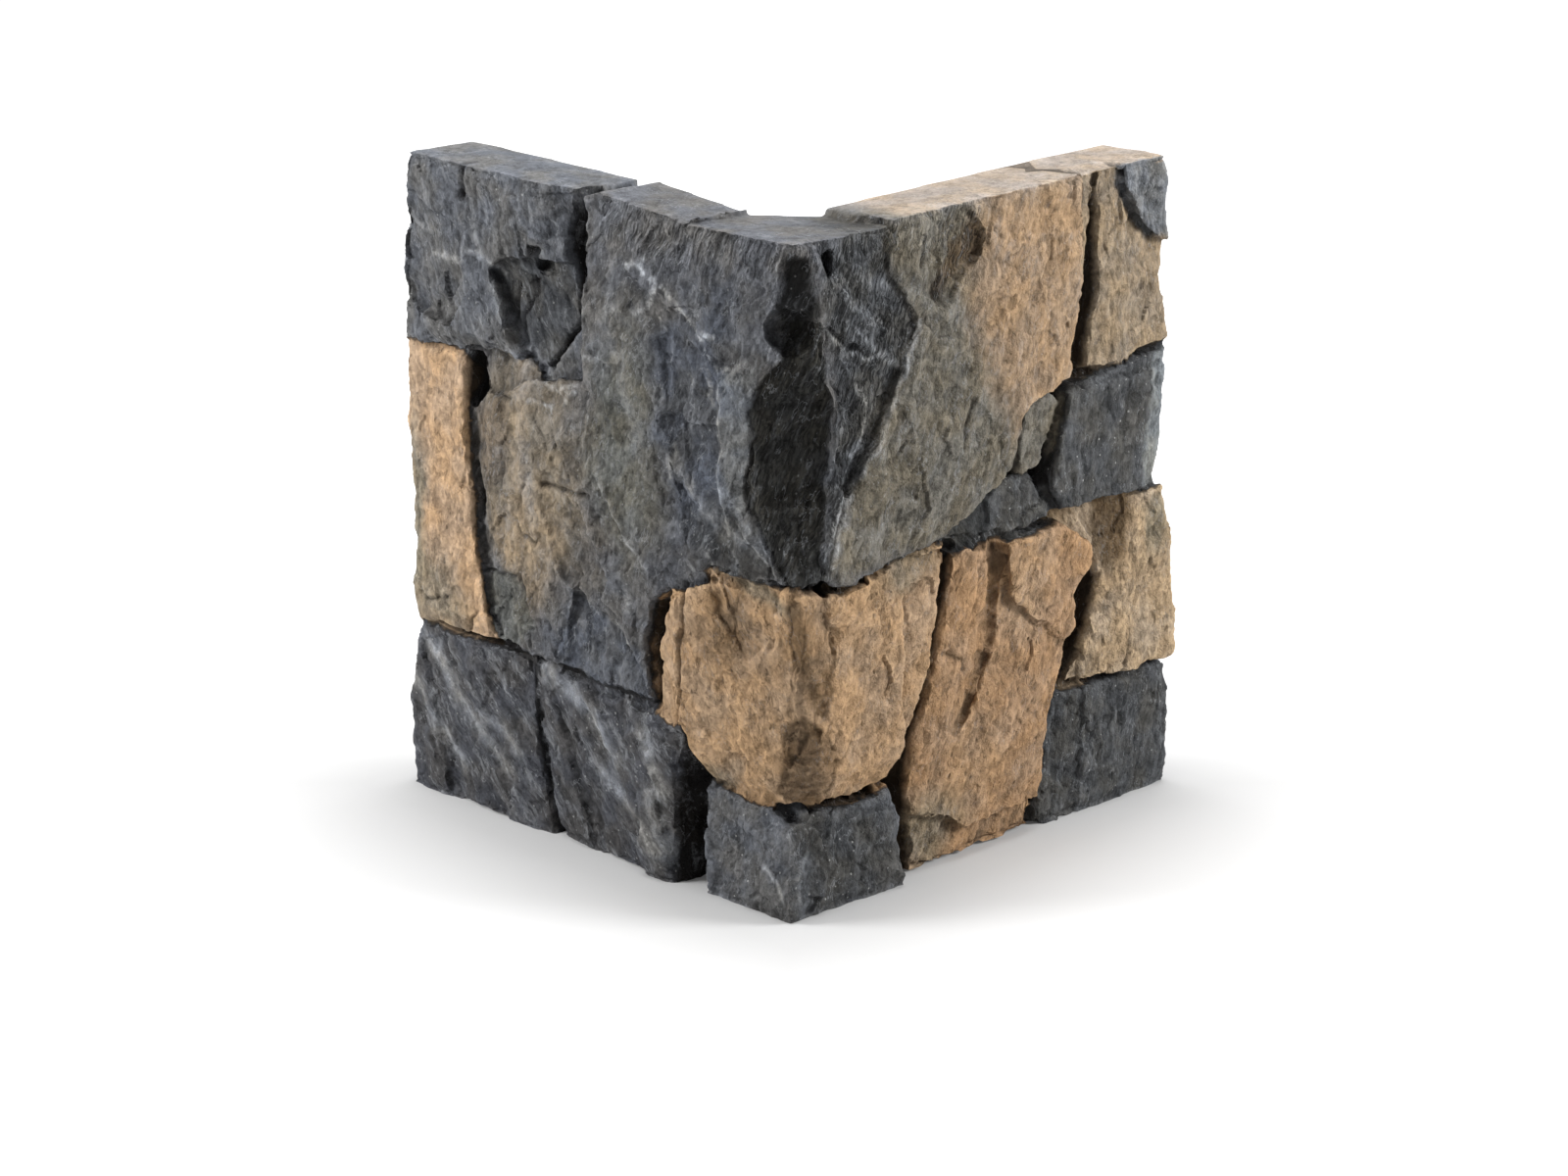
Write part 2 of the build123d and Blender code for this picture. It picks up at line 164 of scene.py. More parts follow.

# Soft stains, and one patch of painted shade: the stone, centre (s, z), reach along s and z, pigment,
# strength
Stain = namedtuple("Stain", "stone s z reach_s reach_z pigment strength")
STAINS = [
    Stain("great_quoin", -212, 228, 62, 84, "olive", 0.9),
    Stain("great_quoin", -216, 182, 30, 50, "brown_olive", 0.8),
    Stain("great_quoin", -130, 262, 36, 84, "sage", 0.9),
    Stain("great_quoin", -66, 285, 32, 100, "blue_slate", 0.9),
    Stain("great_quoin", -40, 222, 40, 30, "dark_slate_and_shade", 0.8),
    Stain("great_quoin", -150, 122, 52, 26, "blue_slate", 0.8),
    Stain("great_quoin", 60, 345, 30, 50, "dark_slate_and_shade", 0.6),
    Stain("top_right", 290, 310, 40, 40, "brown_olive", 0.7),
    Stain("left_upright", -326, 170, 16, 90, "moss_grey", 0.9),
    Stain("left_upright", -306, 128, 40, 34, "moss_grey", 0.8),
    # A hollow on the tan quoin, painted brown as its shade
    Stain("tan_quoin", -46, 160, 20, 28, "brown_shade", 0.65),
    Stain("tan_quoin", -30, 189, 34, 7, "moss_grey", 0.7),
    Stain("tan_quoin", 92, 188, 30, 14, "moss_grey", 0.7),
    Stain("tan_quoin", -62, 78, 16, 10, "moss_grey", 0.6),
    Stain("right_tan", 318, 176, 20, 30, "moss_grey", 0.8),
    Stain("tan_upright", 122, 22, 30, 36, "moss_grey", 0.8),
    Stain("tan_upright", 196, 160, 26, 40, "tan", 0.7),
    Stain("tan_upright", 150, 60, 34, 36, "tan", 0.5),
    Stain("bed_quoin", 46, 34, 44, 60, "coal", 0.9),
]

# The spall down the arris of the great quoin: dark pigment, and painted shade, as it faces away from both
# lights
SPALLED = [
    (-8, 346), (-6, 323), (-26, 306), (-30, 294), (-29, 282), (-37, 247), (-34, 237), (-23, 225),
    (-11, 203), (-2, 190), (29, 188), (24, 210), (30, 253), (33, 283), (31, 300), (27, 324), (24, 342),
]

# The dark, fibrous face between the arris and the crack on the right wing
DARK_FACE = [
    (24, 384), (77, 392), (76, 364), (99, 330), (80, 300), (58, 262), (34, 221), (30, 194), (22, 194),
    (36, 274), (39, 312), (30, 340),
]

# The hollow under the top edge of the great quoin's right face, painted dark as its shade
TROUGH = [
    (140, 379), (146, 380), (151, 376), (156, 368), (149, 365), (145, 362), (139, 359), (132, 354),
    (127, 350), (123, 344), (120, 339), (117, 338), (113, 344), (113, 349), (116, 354), (120, 359),
    (124, 364), (127, 371), (133, 375),
]

# Outlines that a plate's colour and its split edge share
NOTCH = [
    (-242, 339), (-229, 349), (-204, 350), (-180, 353), (-176, 315), (-203, 290), (-223, 301),
    (-235, 326),
]
FOOT_FLAKE = [(-257, 152), (-226, 156), (-219, 144), (-214, 127), (-236, 104), (-250, 110)]
FOOT_PLATE = [(-180, 160), (-165, 152), (-136, 144), (-127, 131), (-110, 100), (-195, 100)]
END_PLATE = [(311, 280), (307, 254), (304, 231), (298, 198), (340, 198), (340, 280)]
SMALL_SPLIT = [(128, 202), (152, 215), (167, 221), (166, 185), (144, 190)]
SHADED_FACET = [(-3, 114), (-5, 96), (-9, 72), (10, 64), (32, 66), (36, 89), (30, 108), (14, 118)]

# Chisel facets and plates with a colour of their own, and facets, pockets and hollows painted with the shade
# or light that falls on them:
# the stone, outline (s, z), pigment, strength, width of the edge in mm
Patch = namedtuple("Patch", "stone outline pigment strength edge")
PATCHES = [
    Patch("great_quoin", [
        (77, 392), (76, 374), (85, 352), (99, 330), (88, 312), (78, 292), (58, 262), (34, 221), (30, 196),
        (120, 200), (215, 222), (262, 265), (258, 398),
    ], "grey_olive", 1.0, 7),
    Patch("great_quoin", [
        (156, 398), (142, 340), (150, 316), (168, 278), (205, 225), (262, 255), (258, 398),
    ], "tan", 0.8, 18),
    Patch("great_quoin", DARK_FACE, "dark_slate_and_shade", 0.9, 5),
    Patch("great_quoin", [
        (-266, 254), (-246, 262), (-230, 264), (-232, 220), (-256, 203), (-264, 220),
    ], "umber_grey", 0.8, 5),
    Patch("great_quoin", [(-228, 285), (-212, 287), (-215, 210), (-226, 208)], "brown_olive", 0.6, 6),
    Patch("great_quoin", FOOT_FLAKE, "sage", 0.8, 3),
    Patch("great_quoin", [
        (-102, 330), (-80, 333), (-66, 316), (-54, 301), (-54, 248), (-51, 221), (-72, 214), (-89, 219),
        (-106, 261),
    ], "blue_slate", 0.7, 6),
    Patch("great_quoin", [
        (-53, 309), (-26, 316), (-29, 282), (-37, 247), (-35, 233), (-51, 230),
    ], "pale_blue", 0.85, 3),
    Patch("great_quoin", [
        (-81, 229), (-55, 237), (-46, 219), (-34, 196), (-54, 190), (-77, 206),
    ], "soot_and_shade", 0.45, 8),
    Patch("great_quoin", FOOT_PLATE, "blue_slate", 0.7, 3),
    # The spall: dark pigment and painted shade
    Patch("great_quoin", SPALLED, "soot_and_shade", 0.97, 1.5),
    # The pocket at the top of the spall and a small one beside it, painted near black as their shade
    Patch("great_quoin", [
        (-4, 374), (-2, 379), (2, 383), (6, 384), (11, 382), (15, 381), (16, 374), (19, 367), (19, 364),
        (25, 356), (25, 352), (23, 346), (19, 343), (6, 342), (-5, 341), (-8, 347), (-10, 353), (-8, 358),
        (-3, 363), (-5, 369),
    ], "pocket_shade", 0.97, 1.5),
    Patch("great_quoin", [
        (26, 381), (30, 381), (33, 379), (34, 375), (33, 369), (30, 365), (28, 366), (25, 372), (26, 377),
    ], "pocket_shade", 0.95, 1.5),
    # The hollow painted dark brown as its shade, and two deeper spots in it painted darker still
    Patch("great_quoin", TROUGH, "dark_brown_shade", 0.75, 4),
    Patch("great_quoin", [
        (139, 377), (145, 378), (151, 371), (148, 366), (142, 367),
    ], "joint_dirt_and_shade", 0.6, 3),
    Patch("great_quoin", [
        (115, 355), (126, 352), (124, 345), (119, 340), (113, 346),
    ], "joint_dirt_and_shade", 0.6, 3),
    # The notch under its ledge, painted darker as its shade
    Patch("top_left", NOTCH, "dark_slate_and_shade", 0.75, 4),
    Patch("small_dark", SMALL_SPLIT, "soot_and_shade", 0.7, 4),
    Patch("top_right", [
        (274, 402), (275, 384), (282, 372), (292, 360), (303, 350), (340, 343), (340, 402),
    ], "pale_blue", 0.95, 3),
    # The end facet of the right dark stone, painted paler for the light that it catches
    Patch("right_dark", END_PLATE, "lit_slate", 0.8, 4),
    # A facet of the right tan stone that faces away from the light, painted dark brown as its shade
    Patch("right_tan", [(262, 197), (291, 196), (286, 160), (271, 146), (260, 166)], "dark_brown_shade", 0.85, 5),
    # The three facets down the tan quoin's arris face the camera, away from both lights, and are painted
    # brown as their shade
    Patch("tan_quoin", [
        (-3, 190), (1, 183), (0, 165), (4, 147), (20, 124), (22, 113), (25, 130), (20, 150), (16, 171),
        (8, 188),
    ], "brown_shade", 0.8, 3),
    Patch("tan_quoin", [
        (16, 171), (8, 188), (24, 182), (34, 162), (32, 133), (26, 117), (20, 142),
    ], "brown_shade", 0.4, 4),
    Patch("tan_quoin", SHADED_FACET, "brown_shade", 0.62, 2),
]

# Leaves split off the faces: outline (s, z), step down at its edge and how far in the step fades, in mm
Leaf = namedtuple("Leaf", "outline drop fade")
LEAVES = [
    Leaf([(-318, 377), (-275, 361), (-258, 330), (-280, 302), (-340, 310)], 1.6, 18),
    Leaf(NOTCH, 1.0, 16),
    Leaf([(-203, 391), (-169, 395), (-174, 369), (-197, 366), (-211, 373)], 1.4, 12),
    Leaf([(-269, 287), (-196, 288), (-222, 273), (-250, 264), (-269, 262)], 1.6, 12),
    Leaf(FOOT_FLAKE, 1.2, 12),
    Leaf(FOOT_PLATE, 1.7, 18),
    Leaf([
        (-186, 250), (-172, 220), (-146, 225), (-130, 202), (-119, 190), (-143, 172), (-186, 163),
        (-205, 205),
    ], 1.2, 16),
    Leaf([
        (-98, 330), (-93, 309), (-88, 292), (-106, 261), (-97, 217), (-50, 219), (-55, 248), (-54, 301),
        (-66, 318),
    ], 1.4, 20),
    Leaf([(-89, 253), (-65, 229), (-34, 213), (-11, 198), (-60, 193), (-80, 205)], 1.2, 10),
    Leaf([(-42, 226), (-31, 217), (-14, 200), (-34, 195), (-50, 205)], 1.2, 9),
    Leaf(SPALLED, 2.2, 14),
    Leaf([(24, 340), (84, 310), (75, 288), (56, 262), (42, 240), (36, 262), (38, 300)], 0.5, 16),
    Leaf(TROUGH, 1.2, 8),
    Leaf([
        (275, 404), (275, 384), (292, 361), (306, 348), (340, 344), (340, 270), (240, 270), (240, 404),
    ], 1.8, 14),
    Leaf(END_PLATE, 1.2, 14),
    Leaf(SMALL_SPLIT, 2.5, 20),
    Leaf([
        (172, 195), (176, 171), (184, 146), (202, 136), (223, 120), (250, 112), (250, 0), (90, 0),
        (90, 195),
    ], 2.2, 14),
    Leaf([
        (158, 195), (176, 195), (174, 160), (168, 128), (150, 96), (136, 78), (128, 84), (142, 114),
        (154, 150),
    ], 1.0, 10),
    Leaf([(90, 38), (105, 38), (126, 29), (144, 18), (170, 19), (212, 21), (212, -5), (90, -5)], 2.2, 16),
    Leaf([(250, 196), (287, 195), (282, 180), (273, 169), (258, 175)], 1.7, 12),
    Leaf([(-66, 195), (-58, 168), (-40, 150), (-16, 156), (-8, 195)], 2.0, 16),
    Leaf([(0, 195), (26, 195), (34, 162), (26, 117), (10, 96), (0, 90)], 1.4, 10),
    Leaf(SHADED_FACET, 1.2, 12),
    Leaf([(-322, 96), (-296, 102), (-232, 22), (-240, -5), (-285, -5)], 1.7, 16),
    Leaf([(-262, 90), (-232, 60), (-205, 25), (-195, 60), (-218, 100)], 1.2, 14),
    Leaf([(-204, 90), (-182, 104), (-116, 32), (-112, -5), (-150, -5)], 1.7, 16),
    Leaf([(-118, 95), (-100, 60), (-92, 20), (-82, 40), (-84, 92)], 1.6, 10),
    Leaf([(-66, 60), (-20, 40), (-25, 10), (-66, 6)], 1.2, 14),
    Leaf([(15, 58), (60, 45), (70, 10), (30, 8)], 1.2, 14),
    Leaf([(232, 80), (262, 60), (258, 10), (222, 30)], 1.4, 14),
]

# Lines drawn on the faces: points (s, z), width and depth or height, in mm
Line = namedtuple("Line", "points width depth")
# Low ridges that also show pale
PALE_RISE = [(-54, 301), (-55, 248), (-51, 233), (-50, 219)]
CRACK_RISE = [(53, 302), (64, 288), (59, 277), (52, 266), (42, 243), (34, 225), (27, 209)]
# Runs of joint that close up in the solid, raked out again
JOINTS = [
    Line([(-10, 193), (8, 193), (22, 191), (42, 188.5), (60, 190.5)], 1.2, 5.0),
    Line([(-10, 65), (0, 65), (26, 63), (52, 61), (66, 63.5)], 1.2, 5.0),
    Line([(-165, 363), (-171, 340), (-173, 320), (-184, 307), (-201, 288)], 1.7, 7.0),
]
# Cracks, and the split edges that run like them
CRACKS = [
    Line([(-202, 218), (-176, 219), (-159, 219)], 1.4, 2.5),
    Line([(-81, 184), (-80, 157), (-83, 142), (-82, 121), (-84, 103), (-79, 84)], 1.2, 2.5),
    Line([(145, 280), (140, 266), (135, 253)], 1.6, 2.0),
    Line([(275, 398), (275, 384), (282, 372), (292, 360), (305, 349)], 1.8, 3.0),
    Line([(-268, 397), (-269, 380)], 2.0, 2.5),
    Line([(-226, 333), (-228, 324), (-226, 316), (-229, 306), (-226, 300)], 1.5, 2.0),
    Line([(-213, 339), (-212, 329), (-216, 321), (-221, 314), (-220, 304), (-217, 299)], 1.5, 2.2),
    Line([(105, 375), (106, 369), (103, 364)], 1.3, 1.5),
    Line([
        (77, 392), (82, 382), (76, 374), (77, 364), (85, 352), (99, 330), (97, 322), (88, 312), (78, 292),
        (71, 279), (58, 262), (43, 242), (34, 221), (30, 202),
    ], 1.2, 0.9),
    Line([(-218, 215), (-223, 206), (-223, 196)], 1.3, 1.5),
    Line([(-227, 191), (-222, 183), (-210, 180), (-206, 185)], 1.3, 1.5),
    Line([(-258, 153), (-241, 154), (-226, 157), (-223, 149)], 1.2, 1.5),
    Line([(-216, 130), (-201, 133), (-198, 129)], 1.2, 1.5),
    Line([(-248, 138), (-236, 140)], 1.2, 1.2),
    Line([(-249, 263), (-230, 264)], 1.4, 2.0),
    Line([(-273, 112), (-271, 119), (-260, 128)], 1.6, 2.0),
    Line([(-312, 124), (-300, 127), (-289, 130)], 1.3, 1.5),
    Line([(165, 121), (155, 102), (138, 84)], 1.6, 2.2),
    Line([(125, 131), (142, 124), (146, 116)], 1.5, 1.5),
    Line([(288, 111), (286, 87)], 1.5, 2.0),
]
# Low ridges between the facets
RIDGES = [
    Line([(-184, 247), (-172, 220), (-164, 195), (-143, 172), (-131, 157), (-119, 136)], 4.0, 1.3),
    Line([
        (-152, 239), (-146, 225), (-138, 215), (-130, 202), (-119, 190), (-108, 186), (-107, 180),
    ], 2.5, 1.2),
    Line(PALE_RISE, 3.0, 1.2),
    Line([(-222, 285), (-220, 250), (-221, 212)], 5.0, 1.0),
    Line(CRACK_RISE, 2.2, 1.2),
    Line([(25, 337), (37, 325), (52, 318), (74, 310)], 2.2, 1.2),
]
# Wavy tool marks across the facet on the tan quoin that is painted brown as its shade
for z in range(70, 112, 5):
    RIDGES.append(Line([(-5, z), (6, z + 2), (14, z - 1), (23, z + 2), (33, z)], 1.2, 0.7))
# Pale scuffs and veins: their depth is how strongly the pale colour shows
LINE_SPREAD = 0.75
SCUFFS = [
    Line([(-318, 97), (-300, 86), (-285, 66), (-262, 48), (-240, 34)], 7.0, 0.8),
    Line([(-330, 68), (-312, 52), (-296, 36), (-283, 22)], 6.0, 0.65),
    Line([(-262, 62), (-240, 56), (-225, 44)], 5.0, 0.7),
    Line([(-206, 100), (-182, 94), (-160, 84), (-140, 66)], 8.0, 0.75),
    Line([(-165, 86), (-150, 72), (-138, 60)], 2.0, 0.9),
    Line([(-114, 88), (-105, 70), (-96, 54)], 5.0, 0.85),
    Line([(-156, 52), (-132, 40), (-113, 28), (-98, 18)], 6.0, 0.75),
    Line([(-105, 50), (-96, 30), (-92, 14)], 8.0, 0.6),
    Line([(-326, 352), (-311, 358), (-299, 357)], 2.5, 0.8),
    Line([(-298, 342), (-280, 341), (-262, 347), (-246, 348), (-238, 338)], 2.2, 0.9),
    Line([(-240, 330), (-228, 306), (-212, 292)], 3.0, 0.6),
    Line([(-222, 300), (-218, 250), (-214, 200)], 7.0, 0.3),
    Line([(-140, 330), (-128, 290), (-118, 250)], 8.0, 0.25),
    Line([(-89, 253), (-65, 229), (-34, 213), (-11, 200)], 4.0, 0.4),
    Line([(-53, 243), (-30, 222), (-3, 203)], 3.0, 0.45),
    Line([(-76, 240), (-52, 214), (-40, 200)], 3.0, 0.4),
    Line([(40, 325), (58, 300), (70, 285)], 3.0, 0.3),
    Line([(30, 372), (50, 350), (74, 330)], 3.0, 0.4),
    Line([(36, 384), (62, 362), (82, 350)], 2.5, 0.35),
    Line([(30, 250), (40, 270), (48, 290)], 2.5, 0.3),
]
VEINS = [
    Line([(-127, 361), (-117, 360), (-95, 353), (-81, 341), (-67, 329), (-59, 327)], 1.4, 0.9),
    Line([(-117, 360), (-110, 368)], 1.1, 0.8),
    Line([(-135, 332), (-116, 334), (-107, 342), (-98, 349)], 1.1, 0.7),
    Line([(-101, 334), (-97, 328)], 1.1, 0.6),
    Line([(-65, 325), (-54, 311), (-42, 312), (-32, 322)], 1.1, 0.6),
    Line([(-64, 314), (-61, 296)], 1.1, 0.5),
    Line(PALE_RISE, 1.4, 0.45),
    Line([(-90, 263), (-89, 252), (-91, 241)], 1.2, 0.4),
    Line([(-42, 226), (-31, 217), (-21, 209), (-14, 200)], 1.3, 0.55),
    Line([(-81, 198), (-72, 190)], 1.2, 0.5),
    Line([(-65, 204), (-60, 192)], 1.2, 0.5),
    Line([(-152, 239), (-146, 225), (-138, 215), (-130, 202), (-119, 190), (-108, 186)], 1.2, 0.45),
    Line([(-180, 160), (-165, 152), (-136, 144), (-127, 131)], 1.2, 0.45),
    Line([(-129, 166), (-129, 156)], 1.3, 0.7),
    Line([(-213, 266), (-200, 266), (-189, 269)], 1.1, 0.6),
    Line([(-179, 272), (-170, 278)], 1.1, 0.6),
    Line([(-171, 307), (-168, 300), (-152, 302)], 1.1, 0.5),
    Line([(45, 339), (59, 326), (73, 316)], 1.2, 0.5),
    Line(CRACK_RISE, 1.2, 0.5),
    Line([(-80, 305), (-61, 292), (-45, 278)], 1.2, 0.4),
    Line([(-200, 288), (-191, 297), (-180, 308), (-170, 319), (-164, 327)], 1.5, 0.8),
    Line([(-204, 287), (-196, 279), (-182, 278), (-170, 282)], 1.2, 0.55),
    Line([(25, 339), (42, 327), (62, 318), (85, 310)], 1.6, 0.6),
    # A pale rim along the proud edge of the crack, painted as a highlight on that edge
    Line([
        (103, 332), (92, 312), (84, 300), (75, 279), (62, 262), (47, 242), (38, 221), (34, 204),
    ], 1.6, 0.55),
    Line([(58, 268), (44, 246), (34, 226)], 1.2, 0.4),
    Line([(-20, 30), (-10, 22), (-6, 12)], 1.2, 0.5),
    Line([(14, 40), (8, 26), (10, 14)], 1.2, 0.5),
]


def unrolled(points):
    """Places of points on the unrolled faces: s, z and the depth behind the nearer face, in mm."""
    along_left = CORNER - points[:, 0] / MM
    along_right = points[:, 1] / MM + CORNER
    left = along_left > along_right
    fade_left = np.clip(1 - (along_left - FADE_STARTS) / FADE_REACH, 0, 1)
    fade_right = np.clip(1 - (along_right - FADE_STARTS) / FADE_REACH, 0, 1)
    s = np.where(left, along_right * fade_left - along_left, along_right - along_left * fade_right)
    return s, points[:, 2] / MM, np.minimum(along_left, along_right)


def far_from(line, s, z):
    """Distance in mm from each (s, z) to a line drawn on the unrolled faces."""
    nearest = np.full(len(s), 1e9)
    for (s0, z0), (s1, z1) in zip(line, line[1:]):
        run = (s1 - s0) ** 2 + (z1 - z0) ** 2
        share = np.clip(((s - s0) * (s1 - s0) + (z - z0) * (z1 - z0)) / run, 0, 1)
        nearest = np.minimum(nearest, np.hypot(s - s0 - share * (s1 - s0), z - z0 - share * (z1 - z0)))
    return nearest


def closeness(line, s, z, spread=1.0):
    """One on a line, falling off to nought over about its width."""
    return np.exp(-((far_from(line.points, s, z) / (spread * line.width)) ** 2))


def within(outline, s, z):
    """Distance in mm inside an outline drawn on the unrolled faces; negative outside it."""
    low, high = np.min(outline, 0) - MARGIN, np.max(outline, 0) + MARGIN
    near = (s > low[0]) & (s < high[0]) & (z > low[1]) & (z < high[1])
    s, z = s[near], z[near]
    inside = np.zeros(len(s), bool)
    closed = outline + outline[:1]
    for (s0, z0), (s1, z1) in zip(closed, closed[1:]):
        if z0 != z1:
            inside ^= ((z0 > z) != (z1 > z)) & (s < (s1 - s0) * (z - z0) / (z1 - z0) + s0)
    distance = np.full(len(near), -MARGIN)
    distance[near] = np.where(inside, 1, -1) * far_from(closed, s, z)
    return distance


def smooth(low, high, value):
    share = np.clip((value - low) / (high - low), 0, 1)
    return share * share * (3 - 2 * share)


def wandering(s, z, size):
    """A slow, irregular wave between -1 and 1, for edges of stains and lines that shouldn't run true."""
    return (
        np.sin(s / size + 1.7 * np.sin(z / size * 0.7 + 0.4))
        + np.sin(z / size * 1.1 + 1.3 * np.sin(s / size * 0.9 + 2.1))
        + np.sin((s + z) / size * 1.9 + 0.8)
    ) / 3


def jagged(s, z):
    """The same places moved a little to and fro, so that lines drawn there come out ragged."""
    return (
        s + 2.2 * wandering(s, z, 6) + 1.2 * wandering(z, s, 2.6),
        z + 2.2 * wandering(z, s, 7) + 1.2 * wandering(s, z, 3.1),
    )


def points_of(mesh):
    flat = np.empty(len(mesh.vertices) * 3, np.float32)
    mesh.vertices.foreach_get("co", flat)
    return flat.reshape(-1, 3).astype(float)


def normals_of(mesh):
    flat = np.empty(len(mesh.vertices) * 3, np.float32)
    mesh.vertex_normals.foreach_get("vector", flat)
    return flat.reshape(-1, 3).astype(float)


def keep_field(mesh, name, values, domain="POINT"):
    """Stores one number, vector or colour for each point of the mesh, or for each corner of its faces."""
    kind, key = {1: ("FLOAT", "value"), 3: ("FLOAT_VECTOR", "vector"), 4: ("FLOAT_COLOR", "color")}[
        1 if values.ndim == 1 else values.shape[1]
    ]
    field = mesh.attributes.new(name, kind, domain)
    field.data.foreach_set(key, np.ascontiguousarray(values, np.float32).ravel())


def shaped(piece):
    """The piece's mesh with its modifiers worked in; the modifiers are taken off."""
    bpy.context.view_layer.update()
    mesh = bpy.data.meshes.new_from_object(piece.evaluated_get(bpy.context.evaluated_depsgraph_get()))
    piece.modifiers.clear()
    old = piece.data
    piece.data = mesh
    bpy.data.meshes.remove(old)
    return mesh


def stone_faces(mesh):
    """A search tree of the casting's dressed faces, with the stone that each face belongs to."""
    work = bmesh.new()
    work.from_mesh(mesh)
    bmesh.ops.triangulate(work, faces=work.faces)
    work.faces.ensure_lookup_table()
    dressed, patches = set(), []
    for face in work.faces:
        s, z, depth = (value[0] for value in unrolled(np.array([face.calc_center_median()])))
        if depth > RAKE - 0.5:
            continue
        if abs(s) < ARRIS_REACH and max(-face.normal.y, face.normal.x) > 0.4:
            patches.append([face])
        elif (-face.normal.y if s < 0 else face.normal.x) > 0.85:
            dressed.add(face)
    while dressed:
        patch = [dressed.pop()]
        for face in patch:
            for edge in face.edges:
                for other in edge.link_faces:
                    if other in dressed:
                        dressed.remove(other)
                        patch.append(other)
        patches.append(patch)
    names = list(STONES)
    places = np.array([place for name in names for place in STONES[name].places], float)
    owners = [number for number, name in enumerate(names) for place in STONES[name].places]
    triangles, stone_of = [], []
    for patch in patches:
        middles = np.array([face.calc_center_median() for face in patch])
        sizes = np.array([face.calc_area() for face in patch])
        s, z, depth = unrolled(middles)
        gaps = np.hypot(s[:, None] - places[:, 0], z[:, None] - places[:, 1])
        votes = np.zeros(len(names))
        np.add.at(votes, np.array(owners)[gaps.argmin(1)], sizes)
        for face in patch:
            triangles.append([vertex.index for vertex in face.verts])
            stone_of.append(int(votes.argmax()))
    tree = BVHTree.FromPolygons([vertex.co.copy() for vertex in work.verts], triangles)
    work.free()
    return tree, np.array(stone_of)


def stone_at(points, tree, stone_of):
    """The number of the stone that each point belongs to, and its distance in mm from that stone's face."""
    nearest = [tree.find_nearest(Vector(point)) for point in points]
    return stone_of[[hit[2] for hit in nearest]], np.array([hit[3] for hit in nearest]) / MM


def grain_lay(points, stones):
    """Grain coordinates in mm, across, into and along each stone's own grain, shifted from stone to stone."""
    lay = np.zeros((len(points), 3))
    for number, stone in enumerate(STONES.values()):
        mine = stones == number
        along = Vector((*(math.tan(math.radians(lean)) for lean in stone.leans), 1)).normalized()
        across = Vector((1, 1, 0)).cross(along).normalized()
        into = along.cross(across)
        lay[mine] = points[mine] / MM @ np.stack((across, into, along), 1) + STONE_SHIFT * (number + 1)
    return lay


def of_stone(stones, what):
    return np.array([getattr(stone, what) for stone in STONES.values()], float)[stones]


class Tree:
    """A short way to lay out nodes: each call adds one and gives its first output."""

    def __init__(self, tree):
        self.tree = tree

    def add(self, kind, values=(), out=0, **settings):
        node = self.tree.nodes.new(kind)
        for key, value in settings.items():
            setattr(node, key, value)
        for key, value in dict(values).items():
            if isinstance(value, bpy.types.NodeSocket):
                self.tree.links.new(value, node.inputs[key])
            else:
                node.inputs[key].default_value = value
        return node.outputs[out] if node.outputs else None

    def math(self, operation, *values):
        return self.add("ShaderNodeMath", enumerate(values), operation=operation)

    def vector(self, operation, *values, out=0):
        return self.add("ShaderNodeVectorMath", enumerate(values), out=out, operation=operation)

    def scaled(self, vector, factor):
        return self.add("ShaderNodeVectorMath", {0: vector, "Scale": factor}, operation="SCALE")

    def noise(self, lay, size, detail=2.0, rough=0.5, kind="FBM", out=0, **more):
        """Noise whose features are about size mm across; size may be a triple for stretched noise."""
        size = size if isinstance(size, tuple) else (size, size, size)
        scaled = self.vector("DIVIDE", lay, size)
        values = {"Vector": scaled, "Scale": 1.0, "Detail": detail, "Roughness": rough, **more}
        return self.add("ShaderNodeTexNoise", values, out=out, noise_type=kind, normalize=kind == "FBM")

    def cells(self, lay, size):
        """Cells about size mm across: the distance to the nearest cell's middle, in cells."""
        return self.add("ShaderNodeTexVoronoi", {"Vector": self.vector("DIVIDE", lay, size), "Scale": 1.0})

    def plates(self, lay, size):
        """Flat plates about size mm across, each tilted its own way: height for a tilt of one."""
        node = self.cells(lay, size).node
        scaled = node.inputs["Vector"].links[0].from_socket
        tilt = self.vector("SUBTRACT", node.outputs["Color"], (0.5, 0.5, 0.5))
        offset = self.vector("SUBTRACT", scaled, node.outputs["Position"])
        return self.vector("DOT_PRODUCT", tilt, offset, out=1)


